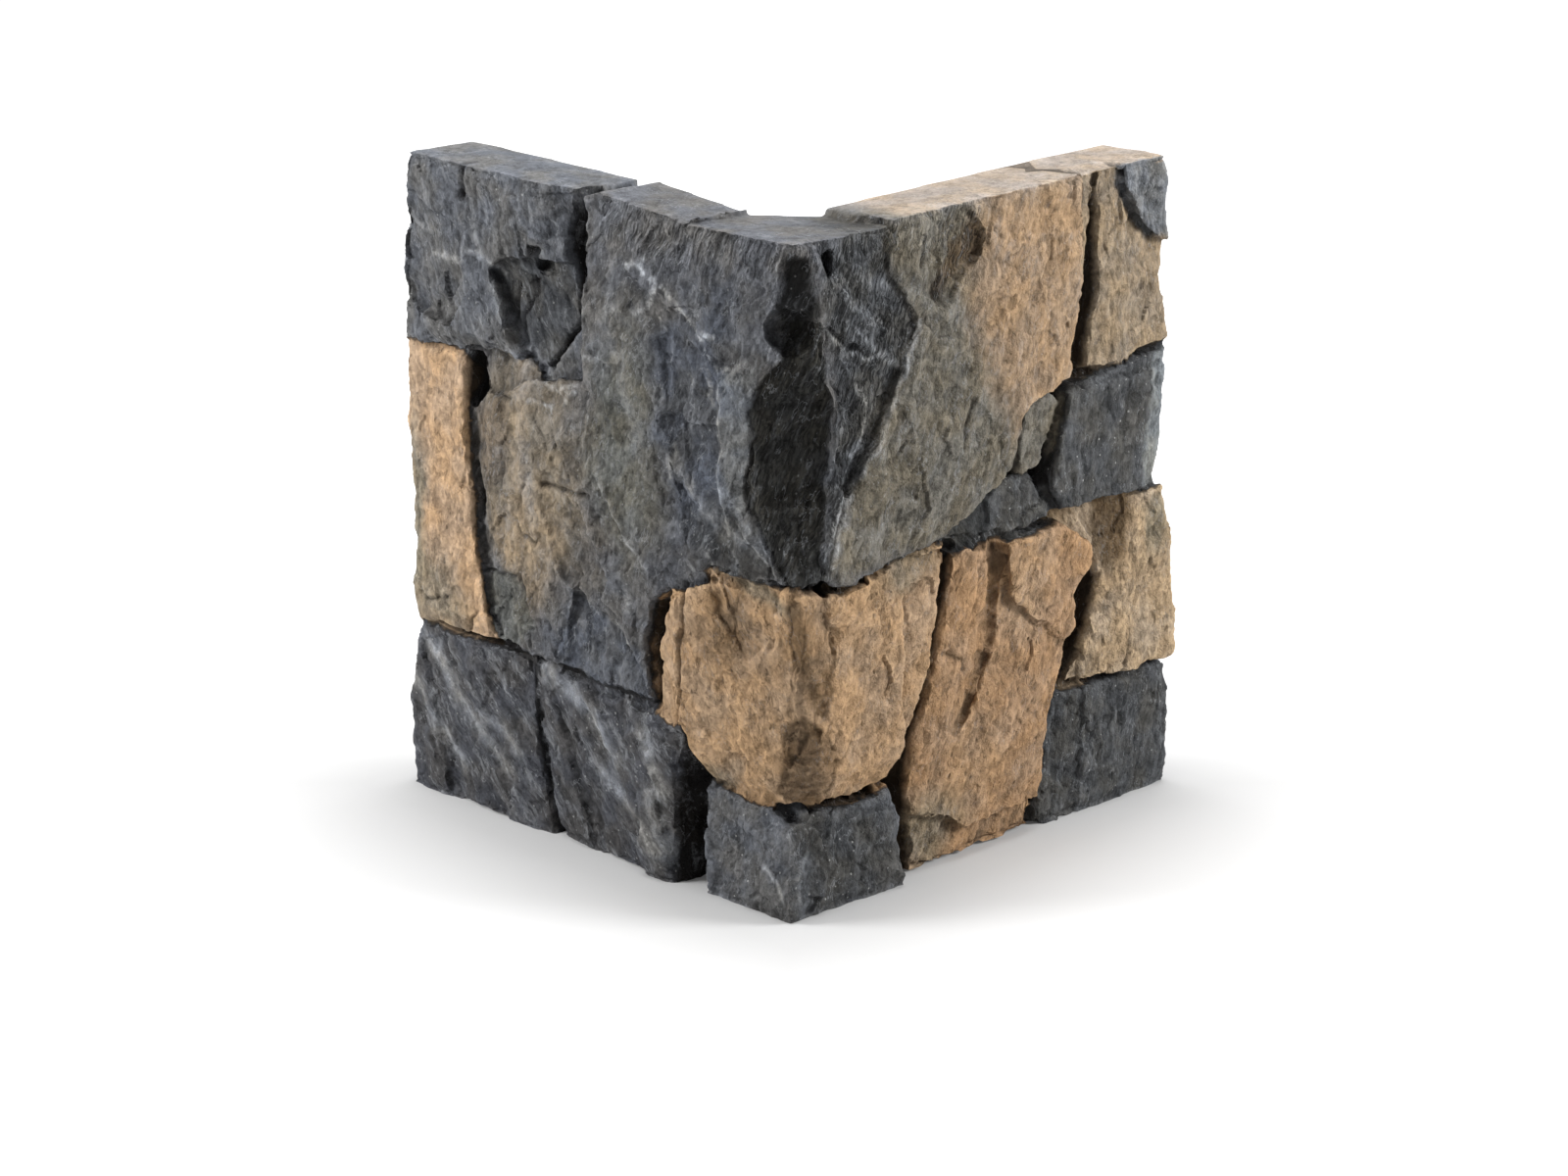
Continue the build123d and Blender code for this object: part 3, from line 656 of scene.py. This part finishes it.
def rock_face_tree(material):
    """Geometry nodes that turn chisel facets into broken rock: plates, lumps, streaks and worn edges."""
    tree = bpy.data.node_groups.new("rock_face", "GeometryNodeTree")
    tree.interface.new_socket("Geometry", in_out="INPUT", socket_type="NodeSocketGeometry")
    inputs = [
        ("Plate height", 3.0), ("Chip height", 1.8), ("Ledge height", 0.45), ("Lump height", 1.5),
        ("Streak height", 0.8), ("Ridge height", 0.6), ("Edge wear", 0.8), ("Wobble", 9.0), ("Warp", 12.0),
        ("Seed", SEED),
    ]
    for name, value in inputs:
        socket = tree.interface.new_socket(name, in_out="INPUT", socket_type="NodeSocketFloat")
        socket.default_value = value
    tree.interface.new_socket("Geometry", in_out="OUTPUT", socket_type="NodeSocketGeometry")
    t = Tree(tree)
    entry = tree.nodes.new("NodeGroupInput")
    given = {socket.name: socket for socket in entry.outputs}

    def field(name, kind):
        return t.add("GeometryNodeInputNamedAttribute", {"Name": name}, data_type=kind)

    seed = t.add("ShaderNodeCombineXYZ", enumerate([given["Seed"]] * 3))
    lay = t.vector("ADD", field("lay", "FLOAT_VECTOR"), seed)
    rough = field("rough", "FLOAT")
    carve = field("carve", "FLOAT")

    warp = t.vector("SUBTRACT", t.noise(lay, 34.0, 2.0, out=1), (0.5, 0.5, 0.5))
    lay = t.vector("ADD", lay, t.scaled(warp, given["Warp"]))

    def centred(value):
        return t.math("SUBTRACT", value, 0.5)

    # Ledges, plates, lumps and streaks
    slope = t.math("MULTIPLY", t.noise(lay, (30.0, 30.0, 50.0), 5.0, 0.6), 8.0)
    rise = t.add(
        "ShaderNodeMapRange", {0: t.math("FRACT", slope), 1: 0.75, 2: 1.0, 3: 0.0, 4: 1.0},
        interpolation_type="SMOOTHSTEP",
    )
    ledge = t.math("SUBTRACT", t.math("ADD", t.math("FLOOR", slope), rise), 4.0)
    relief = t.math("MULTIPLY", t.plates(lay, (30.0, 30.0, 46.0)), given["Plate height"])
    parts = [
        (t.plates(lay, (9.0, 9.0, 18.0)), "Chip height"),
        (ledge, "Ledge height"),
        (centred(t.noise(lay, 9.0, 5.0, 0.65)), "Lump height"),
        (centred(t.noise(lay, (3.2, 3.2, 17.0), 3.0, 0.6)), "Streak height"),
        (centred(t.noise(lay, (16.0, 16.0, 55.0), 4.0, 0.6, "RIDGED_MULTIFRACTAL")), "Ridge height"),
    ]
    for value, name in parts:
        relief = t.math("ADD", relief, t.math("MULTIPLY", value, given[name]))
    relief = t.math("MINIMUM", t.math("SUBTRACT", relief, 0.4), 2.0)
    height = t.math("ADD", t.math("MULTIPLY", relief, rough), carve)

    # Edges worn inward
    position = t.add("GeometryNodeInputPosition")
    normal = t.add("GeometryNodeInputNormal")
    even = t.add("GeometryNodeBlurAttribute", {"Iterations": 3}, data_type="FLOAT_VECTOR")
    tree.links.new(normal, next(s for s in even.node.inputs if s.name == "Value" and s.enabled))
    even = t.vector("NORMALIZE", even)
    worn = t.add("GeometryNodeBlurAttribute", {"Iterations": 7}, data_type="FLOAT_VECTOR")
    tree.links.new(position, next(s for s in worn.node.inputs if s.name == "Value" and s.enabled))
    pull = t.vector("SUBTRACT", worn, position)
    inward = t.math("MINIMUM", t.vector("DOT_PRODUCT", pull, even, out=1), 0.0)
    chips = t.add("ShaderNodeMapRange", {0: t.noise(lay, 8.0, 4.0, 0.6), 1: 0.35, 2: 0.65, 3: 0.6, 4: 2.0})
    share = t.math("MULTIPLY", given["Edge wear"], rough)
    wear = t.math("MULTIPLY", t.math("MULTIPLY", inward, chips), share)
    total = t.math("ADD", wear, t.math("MULTIPLY", height, MM))
    offset = t.scaled(even, total)

    # The stones' edges wander
    place = t.scaled(position, 1 / MM)
    sway = t.vector("SUBTRACT", t.noise(place, 24.0, 3.0, 0.55, out=1), (0.5, 0.5, 0.5))
    sway = t.vector("MULTIPLY", sway, field("sway", "FLOAT_VECTOR"))
    offset = t.vector("ADD", offset, t.scaled(sway, t.math("MULTIPLY", given["Wobble"], MM)))
    moved = t.add("GeometryNodeSetPosition", {"Geometry": given["Geometry"], "Offset": offset})
    real = t.add("GeometryNodeRealizeInstances", {"Geometry": moved})
    done = t.add("GeometryNodeSetMaterial", {"Geometry": real, "Material": material})
    leave = tree.nodes.new("NodeGroupOutput")
    tree.links.new(done, leave.inputs[0])
    return tree, dict(inputs)


def stone_material():
    """Pigmented cast stone: streaks along the grain, pale scuffs, specks, pits and slots painted dark as
    their shade, chip facets painted lighter and darker as painted shade, and a fine grain.
    """
    material = bpy.data.materials.new("pigmented_cast_stone")
    material.use_nodes = True
    tree = material.node_tree
    tree.nodes.clear()
    t = Tree(tree)

    def field(name, out=2):
        return t.add("ShaderNodeAttribute", out=out, attribute_name=name)

    def mixed(share, one, other, blend="MIX"):
        node = tree.nodes.new("ShaderNodeMix")
        node.data_type = "RGBA"
        node.blend_type = blend
        node.clamp_factor = True
        for socket, value in ((node.inputs[0], share), (node.inputs[6], one), (node.inputs[7], other)):
            if isinstance(value, bpy.types.NodeSocket):
                tree.links.new(value, socket)
            else:
                socket.default_value = value
        return node.outputs[2]

    def ranged(value, low, high, to_low=0.0, to_high=1.0):
        return t.add(
            "ShaderNodeMapRange",
            {0: value, 1: low, 2: high, 3: to_low, 4: to_high},
            interpolation_type="SMOOTHSTEP",
        )

    lay = field("lay", 1)
    tint = field("tint", 0)
    speck = field("speck")
    pit = field("pit")
    scuff = field("scuff")
    rough = field("rough")
    mottle = field("mottle")
    fibrous = field("fibrous")

    warped = t.vector("ADD", lay, t.vector("MULTIPLY", t.noise(lay, 20.0, 3.0, out=1), (9.0, 9.0, 9.0)))

    def lines(shift, size, width, low):
        """Thin, broken lines that wander along the grain."""
        place = t.vector("ADD", warped, (shift, shift, shift))
        off = t.math("ABSOLUTE", t.math("SUBTRACT", t.noise(place, size, 3.0, 0.55), 0.5))
        here = ranged(t.noise(place, 13.0), low, low + 0.08)
        return t.math("MULTIPLY", ranged(off, 0.0, width, 1.0, 0.0), here)

    cloud = t.noise(warped, 30.0, 4.0, 0.6)
    patch = t.noise(warped, (9.0, 9.0, 16.0), 5.0, 0.65)
    streak = t.noise(warped, (2.8, 2.8, 14.0), 4.0, 0.65)
    fibre = ranged(t.noise(warped, (1.6, 1.6, 13.0), 2.0, 0.5), 0.42, 0.58, -1.0, 1.0)
    grain = t.noise(lay, 1.3, 3.0, 0.7)
    crumb = t.noise(lay, 4.0, 5.0, 0.7)
    tone = 0.0
    for value, reach in ((cloud, 0.1), (patch, 0.07), (streak, 0.05), (crumb, 0.1), (grain, 0.2)):
        tone = t.math("ADD", ranged(value, 0.3, 0.7, -reach, reach), tone)
    # Each chip facet painted lighter or darker with its tilt, as painted shade; the cells are those of the
    # chips in the bump below
    for size, reach in ((BIG_CHIP, 0.1), (SMALL_CHIP, 0.1)):
        shade = t.add("ShaderNodeSeparateColor", {0: t.cells(warped, size).node.outputs["Color"]})
        tone = t.math("ADD", ranged(shade, 0.0, 1.0, -reach, reach), tone)
    tone = t.math("ADD", t.math("MULTIPLY", tone, mottle), 1.0)
    tone = t.math("ADD", tone, t.math("MULTIPLY", t.math("MULTIPLY", fibre, fibrous), 0.5))
    warmth = ranged(t.noise(warped, 24.0, 3.0), 0.35, 0.65)
    warm_cast, cool_cast = (1.06, 1.0, 0.9), (0.98, 1.0, 1.04)
    warm = t.vector("MULTIPLY", tint, warm_cast)
    cool = t.vector("MULTIPLY", tint, cool_cast)
    colour = t.scaled(mixed(warmth, cool, warm), tone)

    # Pale scuffs
    drag = t.noise(warped, (8.0, 8.0, 38.0), 5.0, 0.7)
    streaky = t.math("MULTIPLY", scuff, ranged(streak, 0.35, 0.6))
    rubbed = t.math("MULTIPLY", ranged(drag, 0.5, 0.66), streaky)
    colour = mixed(t.math("MULTIPLY", rubbed, 0.5), colour, (*PIGMENTS["scuff"], 1))

    # White specks
    cells = t.cells(lay, (4.6, 4.6, 5.6))
    chance = t.add("ShaderNodeSeparateColor", {0: cells.node.outputs["Color"]})
    dot = t.math("MULTIPLY", ranged(cells, 0.06, 0.17, 1.0, 0.0), ranged(chance, 0.62, 0.7))
    colour = mixed(t.math("MULTIPLY", t.math("MULTIPLY", dot, speck), 0.9), colour, (*PIGMENTS["speck"], 1))

    # Thin pale seams, and short slots, cracks and air holes drawn out along the grain, painted dark as the
    # shade inside them
    seam = t.math("MULTIPLY", lines(61.0, (7.0, 7.0, 22.0), 0.02, 0.5), mottle)
    colour = mixed(t.math("MULTIPLY", seam, 0.3), colour, (*PIGMENTS["scuff"], 1))
    shaded_slot = ranged(t.noise(warped, (1.8, 1.8, 7.0), 2.0, 0.5), 0.66, 0.7)
    shaded_slot = t.math("MAXIMUM", shaded_slot, lines(23.0, (6.0, 6.0, 24.0), 0.03, 0.52))
    holes = t.cells(warped, (4.5, 4.5, 9.0))
    luck = t.add("ShaderNodeSeparateColor", {0: holes.node.outputs["Color"]})
    shaded_hole = t.math("MULTIPLY", ranged(holes, 0.08, 0.26, 1.0, 0.0), ranged(luck, 0.6, 0.72))
    shaded_slot = t.math("MULTIPLY", shaded_slot, ranged(pit, 0.0, 1.0, 0.3, 0.7))
    shaded_hole = t.math("MAXIMUM", t.math("MULTIPLY", shaded_hole, pit), shaded_slot)
    colour = mixed(t.math("MULTIPLY", shaded_hole, 0.75), colour, t.scaled(colour, 0.35))

    # Grain for the light to catch, in mm
    height = grain
    chips = ((t.plates(warped, BIG_CHIP), 4.5), (t.plates(warped, SMALL_CHIP), 2.0))
    for value, reach in ((crumb, 2.0), (streak, 0.7), (t.math("MULTIPLY", fibre, fibrous), 0.5), *chips):
        height = t.math("ADD", height, t.math("MULTIPLY", value, reach))
    height = t.math("SUBTRACT", height, t.math("MULTIPLY", shaded_hole, 0.9))
    height = t.math("MULTIPLY", height, ranged(rough, 0.0, 0.8, 0.25, 1.0))
    bump = t.add("ShaderNodeBump", {"Strength": 1.0, "Distance": MM, "Height": height})

    gloss = t.math("ADD", ranged(grain, 0.25, 0.75, 0.85, 1.0), t.math("MULTIPLY", speck, -0.2))
    shader = t.add("ShaderNodeBsdfPrincipled", {"Base Color": colour, "Roughness": gloss, "Normal": bump})
    shader.node.inputs["Specular IOR Level"].default_value = 0.15
    t.add("ShaderNodeOutputMaterial", {"Surface": shader})
    return material


def cast_corner():
    """The whole casting as one closed mesh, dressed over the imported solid."""
    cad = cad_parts["corner_stone"]
    mesh = cad.data.copy()
    work = bmesh.new()
    work.from_mesh(mesh)
    bmesh.ops.remove_doubles(work, verts=work.verts, dist=0.00001)
    work.to_mesh(mesh)
    work.free()
    tree, stone_of = stone_faces(mesh)
    piece = bpy.data.objects.new("rock_faced_corner", mesh)
    bpy.context.scene.collection.objects.link(piece)
    fine = piece.modifiers.new("fine", "REMESH")
    fine.mode = "VOXEL"
    fine.voxel_size = VOXEL * MM
    mesh = shaped(piece)

    points = points_of(mesh)
    normals = normals_of(mesh)
    s, z, depth = unrolled(points)
    stones, gap = stone_at(points, tree, stone_of)
    # The great quoin's top dips evenly towards the arris
    dip = DIP * np.clip((s - DIP_STARTS) / (DIP_ENDS - DIP_STARTS), 0, 1) * (s < DIP_ENDS)
    dip *= smooth(HEIGHT - 40, HEIGHT - 12, z)
    points[:, 2] -= dip * MM
    mesh.vertices.foreach_set("co", points.astype(np.float32).ravel())

    # How rough each point is: the faces most, then the ends of the wings, and the backs not at all
    flat_top = smooth(0.6, 0.85, normals[:, 2]) * smooth(*TOP_BAND, z)
    rough = 1 - 0.85 * smooth(1.5, 6, gap)
    rough = np.where((abs(s) < ARRIS_REACH) & (z > QUOIN_FOOT) & (z < HEIGHT - 14), 1, rough)
    rough = np.maximum(rough, 0.5 * smooth(*WING_ENDS, abs(s)))
    rough *= 1 - smooth(DEPTH - 10, DEPTH - 2, depth)
    rough *= 1 - 0.85 * flat_top
    rough *= 1 - smooth(0.5, 0.9, -normals[:, 2]) * (1 - smooth(1.0, 3.0, z))
    rough *= of_stone(stones, "relief")

    # What is carved: leaves, cracks, joints and ridges
    front = 1 - smooth(6, 14, depth)
    carve = np.zeros(len(points))
    jag_s, jag_z = jagged(s, z)
    for leaf in LEAVES:
        inside = within(leaf.outline, jag_s, jag_z)
        carve -= leaf.drop * smooth(-0.8, 0.8, inside) * np.exp(-np.maximum(inside, 0) / leaf.fade)
    for line in CRACKS + JOINTS:
        carve -= line.depth * closeness(line, s, z)
    for line in RIDGES:
        carve += line.depth * closeness(line, s, z)
    carve *= front
    keep_field(mesh, "lay", grain_lay(points, stones))
    keep_field(mesh, "rough", rough)
    keep_field(mesh, "carve", carve)
    keep_field(mesh, "hollow", hollowness(mesh, points, normals, rounds=8))
    free = 1 - smooth(DEPTH - 22, DEPTH - 6, depth)
    keep_field(mesh, "sway", np.column_stack((free, free, free * (1 - flat_top) * smooth(0.0, 20.0, z))))

    material = stone_material()
    group, inputs = rock_face_tree(material)
    dress = piece.modifiers.new("rock_face", "NODES")
    dress.node_group = group
    for socket in group.interface.items_tree:
        if socket.in_out == "INPUT" and socket.name in inputs:
            dress[socket.identifier] = inputs[socket.name]
    mesh = shaped(piece)
    for name in ("lay", "rough", "carve", "sway"):
        mesh.attributes.remove(mesh.attributes[name])
    spare = piece.modifiers.new("spare", "DECIMATE")
    spare.ratio = TRIANGLES / (2 * len(mesh.polygons))
    mesh = shaped(piece)

    # Keep to the box of the solid
    low, high = (np.array(corner) for corner in cad_box)
    points = np.clip(points_of(mesh), low, high)
    mesh.vertices.foreach_set("co", points.astype(np.float32).ravel())
    mesh.update()
    paint(mesh, tree, stone_of)
    mesh.shade_smooth()
    mesh.set_sharp_from_angle(angle=SHARP_EDGE)
    mesh.materials.clear()
    mesh.materials.append(material)
    return piece


def values_of(mesh, name):
    values = np.empty(len(mesh.vertices), np.float32)
    mesh.attributes[name].data.foreach_get("value", values)
    return values.astype(float)


def hollowness(mesh, points, normals, rounds):
    """How far in mm each point lies below its surroundings; negative on crests and edges."""
    edges = np.empty(len(mesh.edges) * 2, np.int32)
    mesh.edges.foreach_get("vertices", edges)
    pull = evened(points, edges.reshape(-1, 2), len(points), rounds) - points
    return (pull * normals).sum(1) / MM


def evened(values, edges, count, rounds):
    """Values passed along the mesh's edges until they even out over a few steps."""
    share = np.bincount(edges.ravel(), minlength=count)[:, None]
    for _ in range(rounds):
        total = np.zeros_like(values)
        for column in range(values.shape[1]):
            total[:, column] = np.bincount(edges[:, 0], values[edges[:, 1], column], count)
            total[:, column] += np.bincount(edges[:, 1], values[edges[:, 0], column], count)
        values = 0.5 * values + 0.5 * total / share
    return values


def back_corners(mesh):
    """The point at each corner of the mesh's faces, and whether the face is one of the plain backs."""
    count = len(mesh.loops)
    point_of = np.empty(count, np.int32)
    mesh.loops.foreach_get("vertex_index", point_of)
    sides = np.empty(len(mesh.polygons), np.int32)
    mesh.polygons.foreach_get("loop_total", sides)
    middles = np.empty(len(mesh.polygons) * 3, np.float32)
    mesh.polygons.foreach_get("center", middles)
    facing = np.empty(len(mesh.polygons) * 3, np.float32)
    mesh.polygons.foreach_get("normal", facing)
    facing = facing.reshape(-1, 3)
    s, z, depth = unrolled(middles.reshape(-1, 3).astype(float))
    back = np.where(s < 0, facing[:, 1], -facing[:, 0]) > 0.6
    return point_of, np.repeat(back & (depth > DEPTH - 8), sides)


def mixed_in(tint, pigment, share):
    return tint * (1 - share[:, None]) + PIGMENTS[pigment] * share[:, None]


def paint(mesh, tree, stone_of):
    """Stores the pigments, scuffs, specks and pits on the finished mesh, with painted shade in its hollows,
    joints and cracks, and painted highlights on its crests.
    """
    points = points_of(mesh)
    normals = normals_of(mesh)
    s, z, depth = unrolled(points)
    stones, gap = stone_at(points, tree, stone_of)
    hollow = values_of(mesh, "hollow")
    fine_hollow = hollowness(mesh, points, normals, rounds=3)

    flat_top = smooth(*TOP_BAND, z) * smooth(0.6, 0.85, normals[:, 2])
    number_of = {name: number for number, name in enumerate(STONES)}

    # Each stone's own pigment, its stains and its patches
    tint = np.array([PIGMENTS[stone.pigment] for stone in STONES.values()])[stones]
    drift_s = s + 9 * wandering(s, z, 21) + 4 * wandering(z, s, 8)
    drift_z = z + 9 * wandering(z, s, 25) + 4 * wandering(s, z, 9)
    for stain in STAINS:
        reach = np.hypot((drift_s - stain.s) / stain.reach_s, (drift_z - stain.z) / stain.reach_z)
        mine = stones == number_of[stain.stone]
        tint = mixed_in(tint, stain.pigment, mine * stain.strength * (1 - smooth(0.3, 1.25, reach)))
    jag_s, jag_z = jagged(s, z)
    for patch in PATCHES:
        inside = within(patch.outline, jag_s, jag_z)
        mine = stones == number_of[patch.stone]
        share = patch.strength * smooth(-patch.edge, patch.edge, inside)
        tint = mixed_in(tint, patch.pigment, mine * share)
    pale_top = flat_top * smooth(84, 100, s)
    tint = mixed_in(tint, "blush", pale_top)

    # Crests painted paler, as wear and as painted highlight; hollows painted darker, as painted shade
    worn = np.clip(-hollow / 0.8, 0, 1) + 0.5 * np.clip(-fine_hollow / 0.25, 0, 1)
    hollow_shade = 0.5 * np.clip(hollow / 0.8, 0, 1) + 0.6 * np.clip(fine_hollow / 0.25, 0, 1)
    warmth = 1 - tint[:, 2] / np.maximum(tint[:, 0], 0.001)
    in_tan = smooth(0.25, 0.55, warmth)
    mottle = 1 - 0.45 * in_tan
    paler, darker = 0.35, 0.55
    hollow_shade = (0.3 + 0.7 * mottle) * np.minimum(hollow_shade, 1.4)
    tint = tint * (1 + paler * worn - darker * hollow_shade)[:, None]

    # Pale lines
    for pigment, lines in (("scuff", SCUFFS), ("vein", VEINS)):
        for line in lines:
            near = closeness(line, jag_s, jag_z, LINE_SPREAD)
            broken = 0.65 + 0.35 * wandering(s * 1.3, z, 2.2)
            tint = mixed_in(tint, pigment, line.depth * near * broken * (1 - smooth(4, 8, depth)))

    # Dirt in joints and cracks, painted dark also as the shade that falls in them
    dirt_and_shade = smooth(3, 7, gap) * (1 - flat_top) * (1 - smooth(22, 30, depth))
    dirt_and_shade *= 1 - smooth(*WING_ENDS, abs(s))
    dirt_and_shade *= 1 - smooth(HEIGHT - 20, HEIGHT - 8, z) * (s < -140)
    dirt_and_shade *= 1 - smooth(HEIGHT - 14, HEIGHT - 6, z) * smooth(8, 14, depth)
    for line in JOINTS:
        dirt_and_shade = np.maximum(dirt_and_shade, closeness(line, s, z))
    for line in CRACKS:
        near = closeness(line, s, z) * (1 - smooth(6, 10, depth))
        dirt_and_shade = np.maximum(dirt_and_shade, 0.55 * near)
    warm_dirt_and_shade = 0.6 * PIGMENTS["joint_dirt_and_shade"] + 0.4 * PIGMENTS["dark_brown_shade"]
    in_tan = in_tan[:, None]
    dirt_and_shade_tint = PIGMENTS["joint_dirt_and_shade"] * (1 - in_tan) + warm_dirt_and_shade * in_tan
    tint = tint * (1 - dirt_and_shade[:, None]) + dirt_and_shade_tint * dirt_and_shade[:, None]

    # Faces that broke along their fibres
    fibrous = np.zeros(len(points))
    for outline in (SPALLED, TROUGH, DARK_FACE):
        fibrous = np.maximum(fibrous, smooth(-3, 3, within(outline, jag_s, jag_z)))
    fibrous = np.maximum(fibrous, 0.7 * smooth(HEIGHT - 44, HEIGHT - 26, z) * (abs(s) < 150))
    fibrous *= (stones == number_of["great_quoin"]) * (1 - flat_top)

    # The plain backs, and what the material reads
    flat = np.maximum(flat_top, smooth(24, 34, depth))
    point_of, on_back = back_corners(mesh)
    tint = np.column_stack((np.clip(tint, 0, 1), np.ones(len(tint))))[point_of]
    tint[on_back] = (*PIGMENTS["backing"], 1)
    lay = grain_lay(points, stones)[point_of]
    lay[on_back] = points[point_of][on_back] / MM
    keep_field(mesh, "tint", tint, "CORNER")
    keep_field(mesh, "lay", lay, "CORNER")
    keep_field(mesh, "speck", of_stone(stones, "speck") * (1 - flat))
    keep_field(mesh, "pit", of_stone(stones, "pit") * (1 - flat))
    keep_field(mesh, "scuff", of_stone(stones, "scuff") * (1 - 0.5 * flat))
    keep_field(mesh, "rough", 1 - 0.7 * flat)
    behind = smooth(10, 30, depth)
    keep_field(mesh, "mottle", mottle * (1 - behind) + 0.8 * behind)
    keep_field(mesh, "fibrous", fibrous * (1 - behind))


def seen_directly(t):
    """One for rays that show the background or the floor itself, nought for rays that light the casting."""
    path = t.tree.nodes.new("ShaderNodeLightPath").outputs
    mirrored = t.math("MAXIMUM", path["Is Glossy Ray"], path["Is Transmission Ray"])
    return t.math("MAXIMUM", path["Is Camera Ray"], mirrored)


def studio():
    """White floor and background, two broad side lights, a soft top light and the camera."""
    scene = bpy.context.scene
    scene.view_settings.view_transform = "Standard"
    world = bpy.data.worlds.new("studio")
    scene.world = world
    world.use_nodes = True
    tree = world.node_tree
    tree.nodes.clear()
    t = Tree(tree)
    fill, white = 0.06, 1.0
    level = t.add("ShaderNodeMapRange", {0: seen_directly(t), 1: 0.0, 2: 1.0, 3: fill, 4: white})
    sky = t.add("ShaderNodeBackground", {"Color": (1, 1, 1, 1), "Strength": level})
    t.add("ShaderNodeOutputWorld", {0: sky})

    floor_mesh = bpy.data.meshes.new("floor")
    reach = 6.0
    floor_mesh.from_pydata(
        [(-reach, -reach, 0), (reach, -reach, 0), (reach, reach, 0), (-reach, reach, 0)], [], [(0, 1, 2, 3)]
    )
    floor = bpy.data.objects.new("floor", floor_mesh)
    scene.collection.objects.link(floor)
    paper = bpy.data.materials.new("white_paper")
    paper.use_nodes = True
    tree = paper.node_tree
    tree.nodes.clear()
    t = Tree(tree)
    place = t.add("ShaderNodeTexCoord", out=3)
    place = t.add("ShaderNodeSeparateXYZ", {0: t.vector("ABSOLUTE", place)})
    foot, clear, near_glow, paper_grey = 0.19, 0.9, 0.05, 0.55
    outward = t.math("MAXIMUM", place, place.node.outputs[1])
    away = t.add("ShaderNodeMapRange", {0: outward, 1: foot, 2: clear, 3: near_glow, 4: white})
    strength = t.math("MULTIPLY", seen_directly(t), away)
    glow = t.add("ShaderNodeEmission", {"Color": (1, 1, 1, 1), "Strength": strength})
    matt = t.add("ShaderNodeBsdfDiffuse", {"Color": (paper_grey, paper_grey, paper_grey, 1)})
    t.add("ShaderNodeOutputMaterial", {0: t.add("ShaderNodeAddShader", {0: matt, 1: glow})})
    floor_mesh.materials.append(paper)

    middle = Vector((CORNER * MM * 0.6, -CORNER * MM * 0.6, 0.2))
    ahead = Vector((1, -1, 0)).normalized()
    side = Vector((1, 1, 0)).normalized()

    def softbox(name, turn, rise, away, width, tall, watts):
        """An area light turned from the camera's direction, looking at the middle of the casting."""
        turn, rise = math.radians(turn), math.radians(rise)
        level = ahead * math.cos(turn) + side * math.sin(turn)
        way = level * math.cos(rise) + Vector((0, 0, math.sin(rise)))
        lamp = bpy.data.lights.new(name, "AREA")
        lamp.shape = "RECTANGLE"
        lamp.size, lamp.size_y = width, tall
        lamp.energy = watts
        stand = bpy.data.objects.new(name, lamp)
        stand.location = middle + way * away
        stand.rotation_euler = way.to_track_quat("Z", "Y").to_euler()
        scene.collection.objects.link(stand)

    softbox("left_light", turn=-86, rise=22, away=2.0, width=0.7, tall=0.7, watts=44)
    softbox("right_light", turn=86, rise=22, away=2.0, width=0.7, tall=0.7, watts=43)
    softbox("top_light", turn=180, rise=80, away=1.8, width=1.3, tall=1.3, watts=50)

    # Camera as fitted to the picture, for an image of 1600 by 1200
    wide, tall = 1600, 1200
    focus = 3662.4
    middle_x, middle_y = 804.2, 540.4
    rise = math.radians(16.09)
    away = 1.960
    target = Vector((CORNER * MM, -CORNER * MM, 0.231))
    way = ahead * math.cos(rise) + Vector((0, 0, math.sin(rise)))
    camera = bpy.data.cameras.new("camera")
    camera.sensor_width = 36
    camera.lens = 36 * focus / wide
    camera.shift_x = (wide / 2 - middle_x) / wide
    camera.shift_y = (middle_y - tall / 2) / wide
    camera.clip_end = 50
    eye = bpy.data.objects.new("camera", camera)
    eye.location = target + way * away
    eye.rotation_euler = way.to_track_quat("Z", "Y").to_euler()
    scene.collection.objects.link(eye)
    scene.camera = eye


corner = cast_corner()
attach(corner, "root")
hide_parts("corner_stone")
studio()
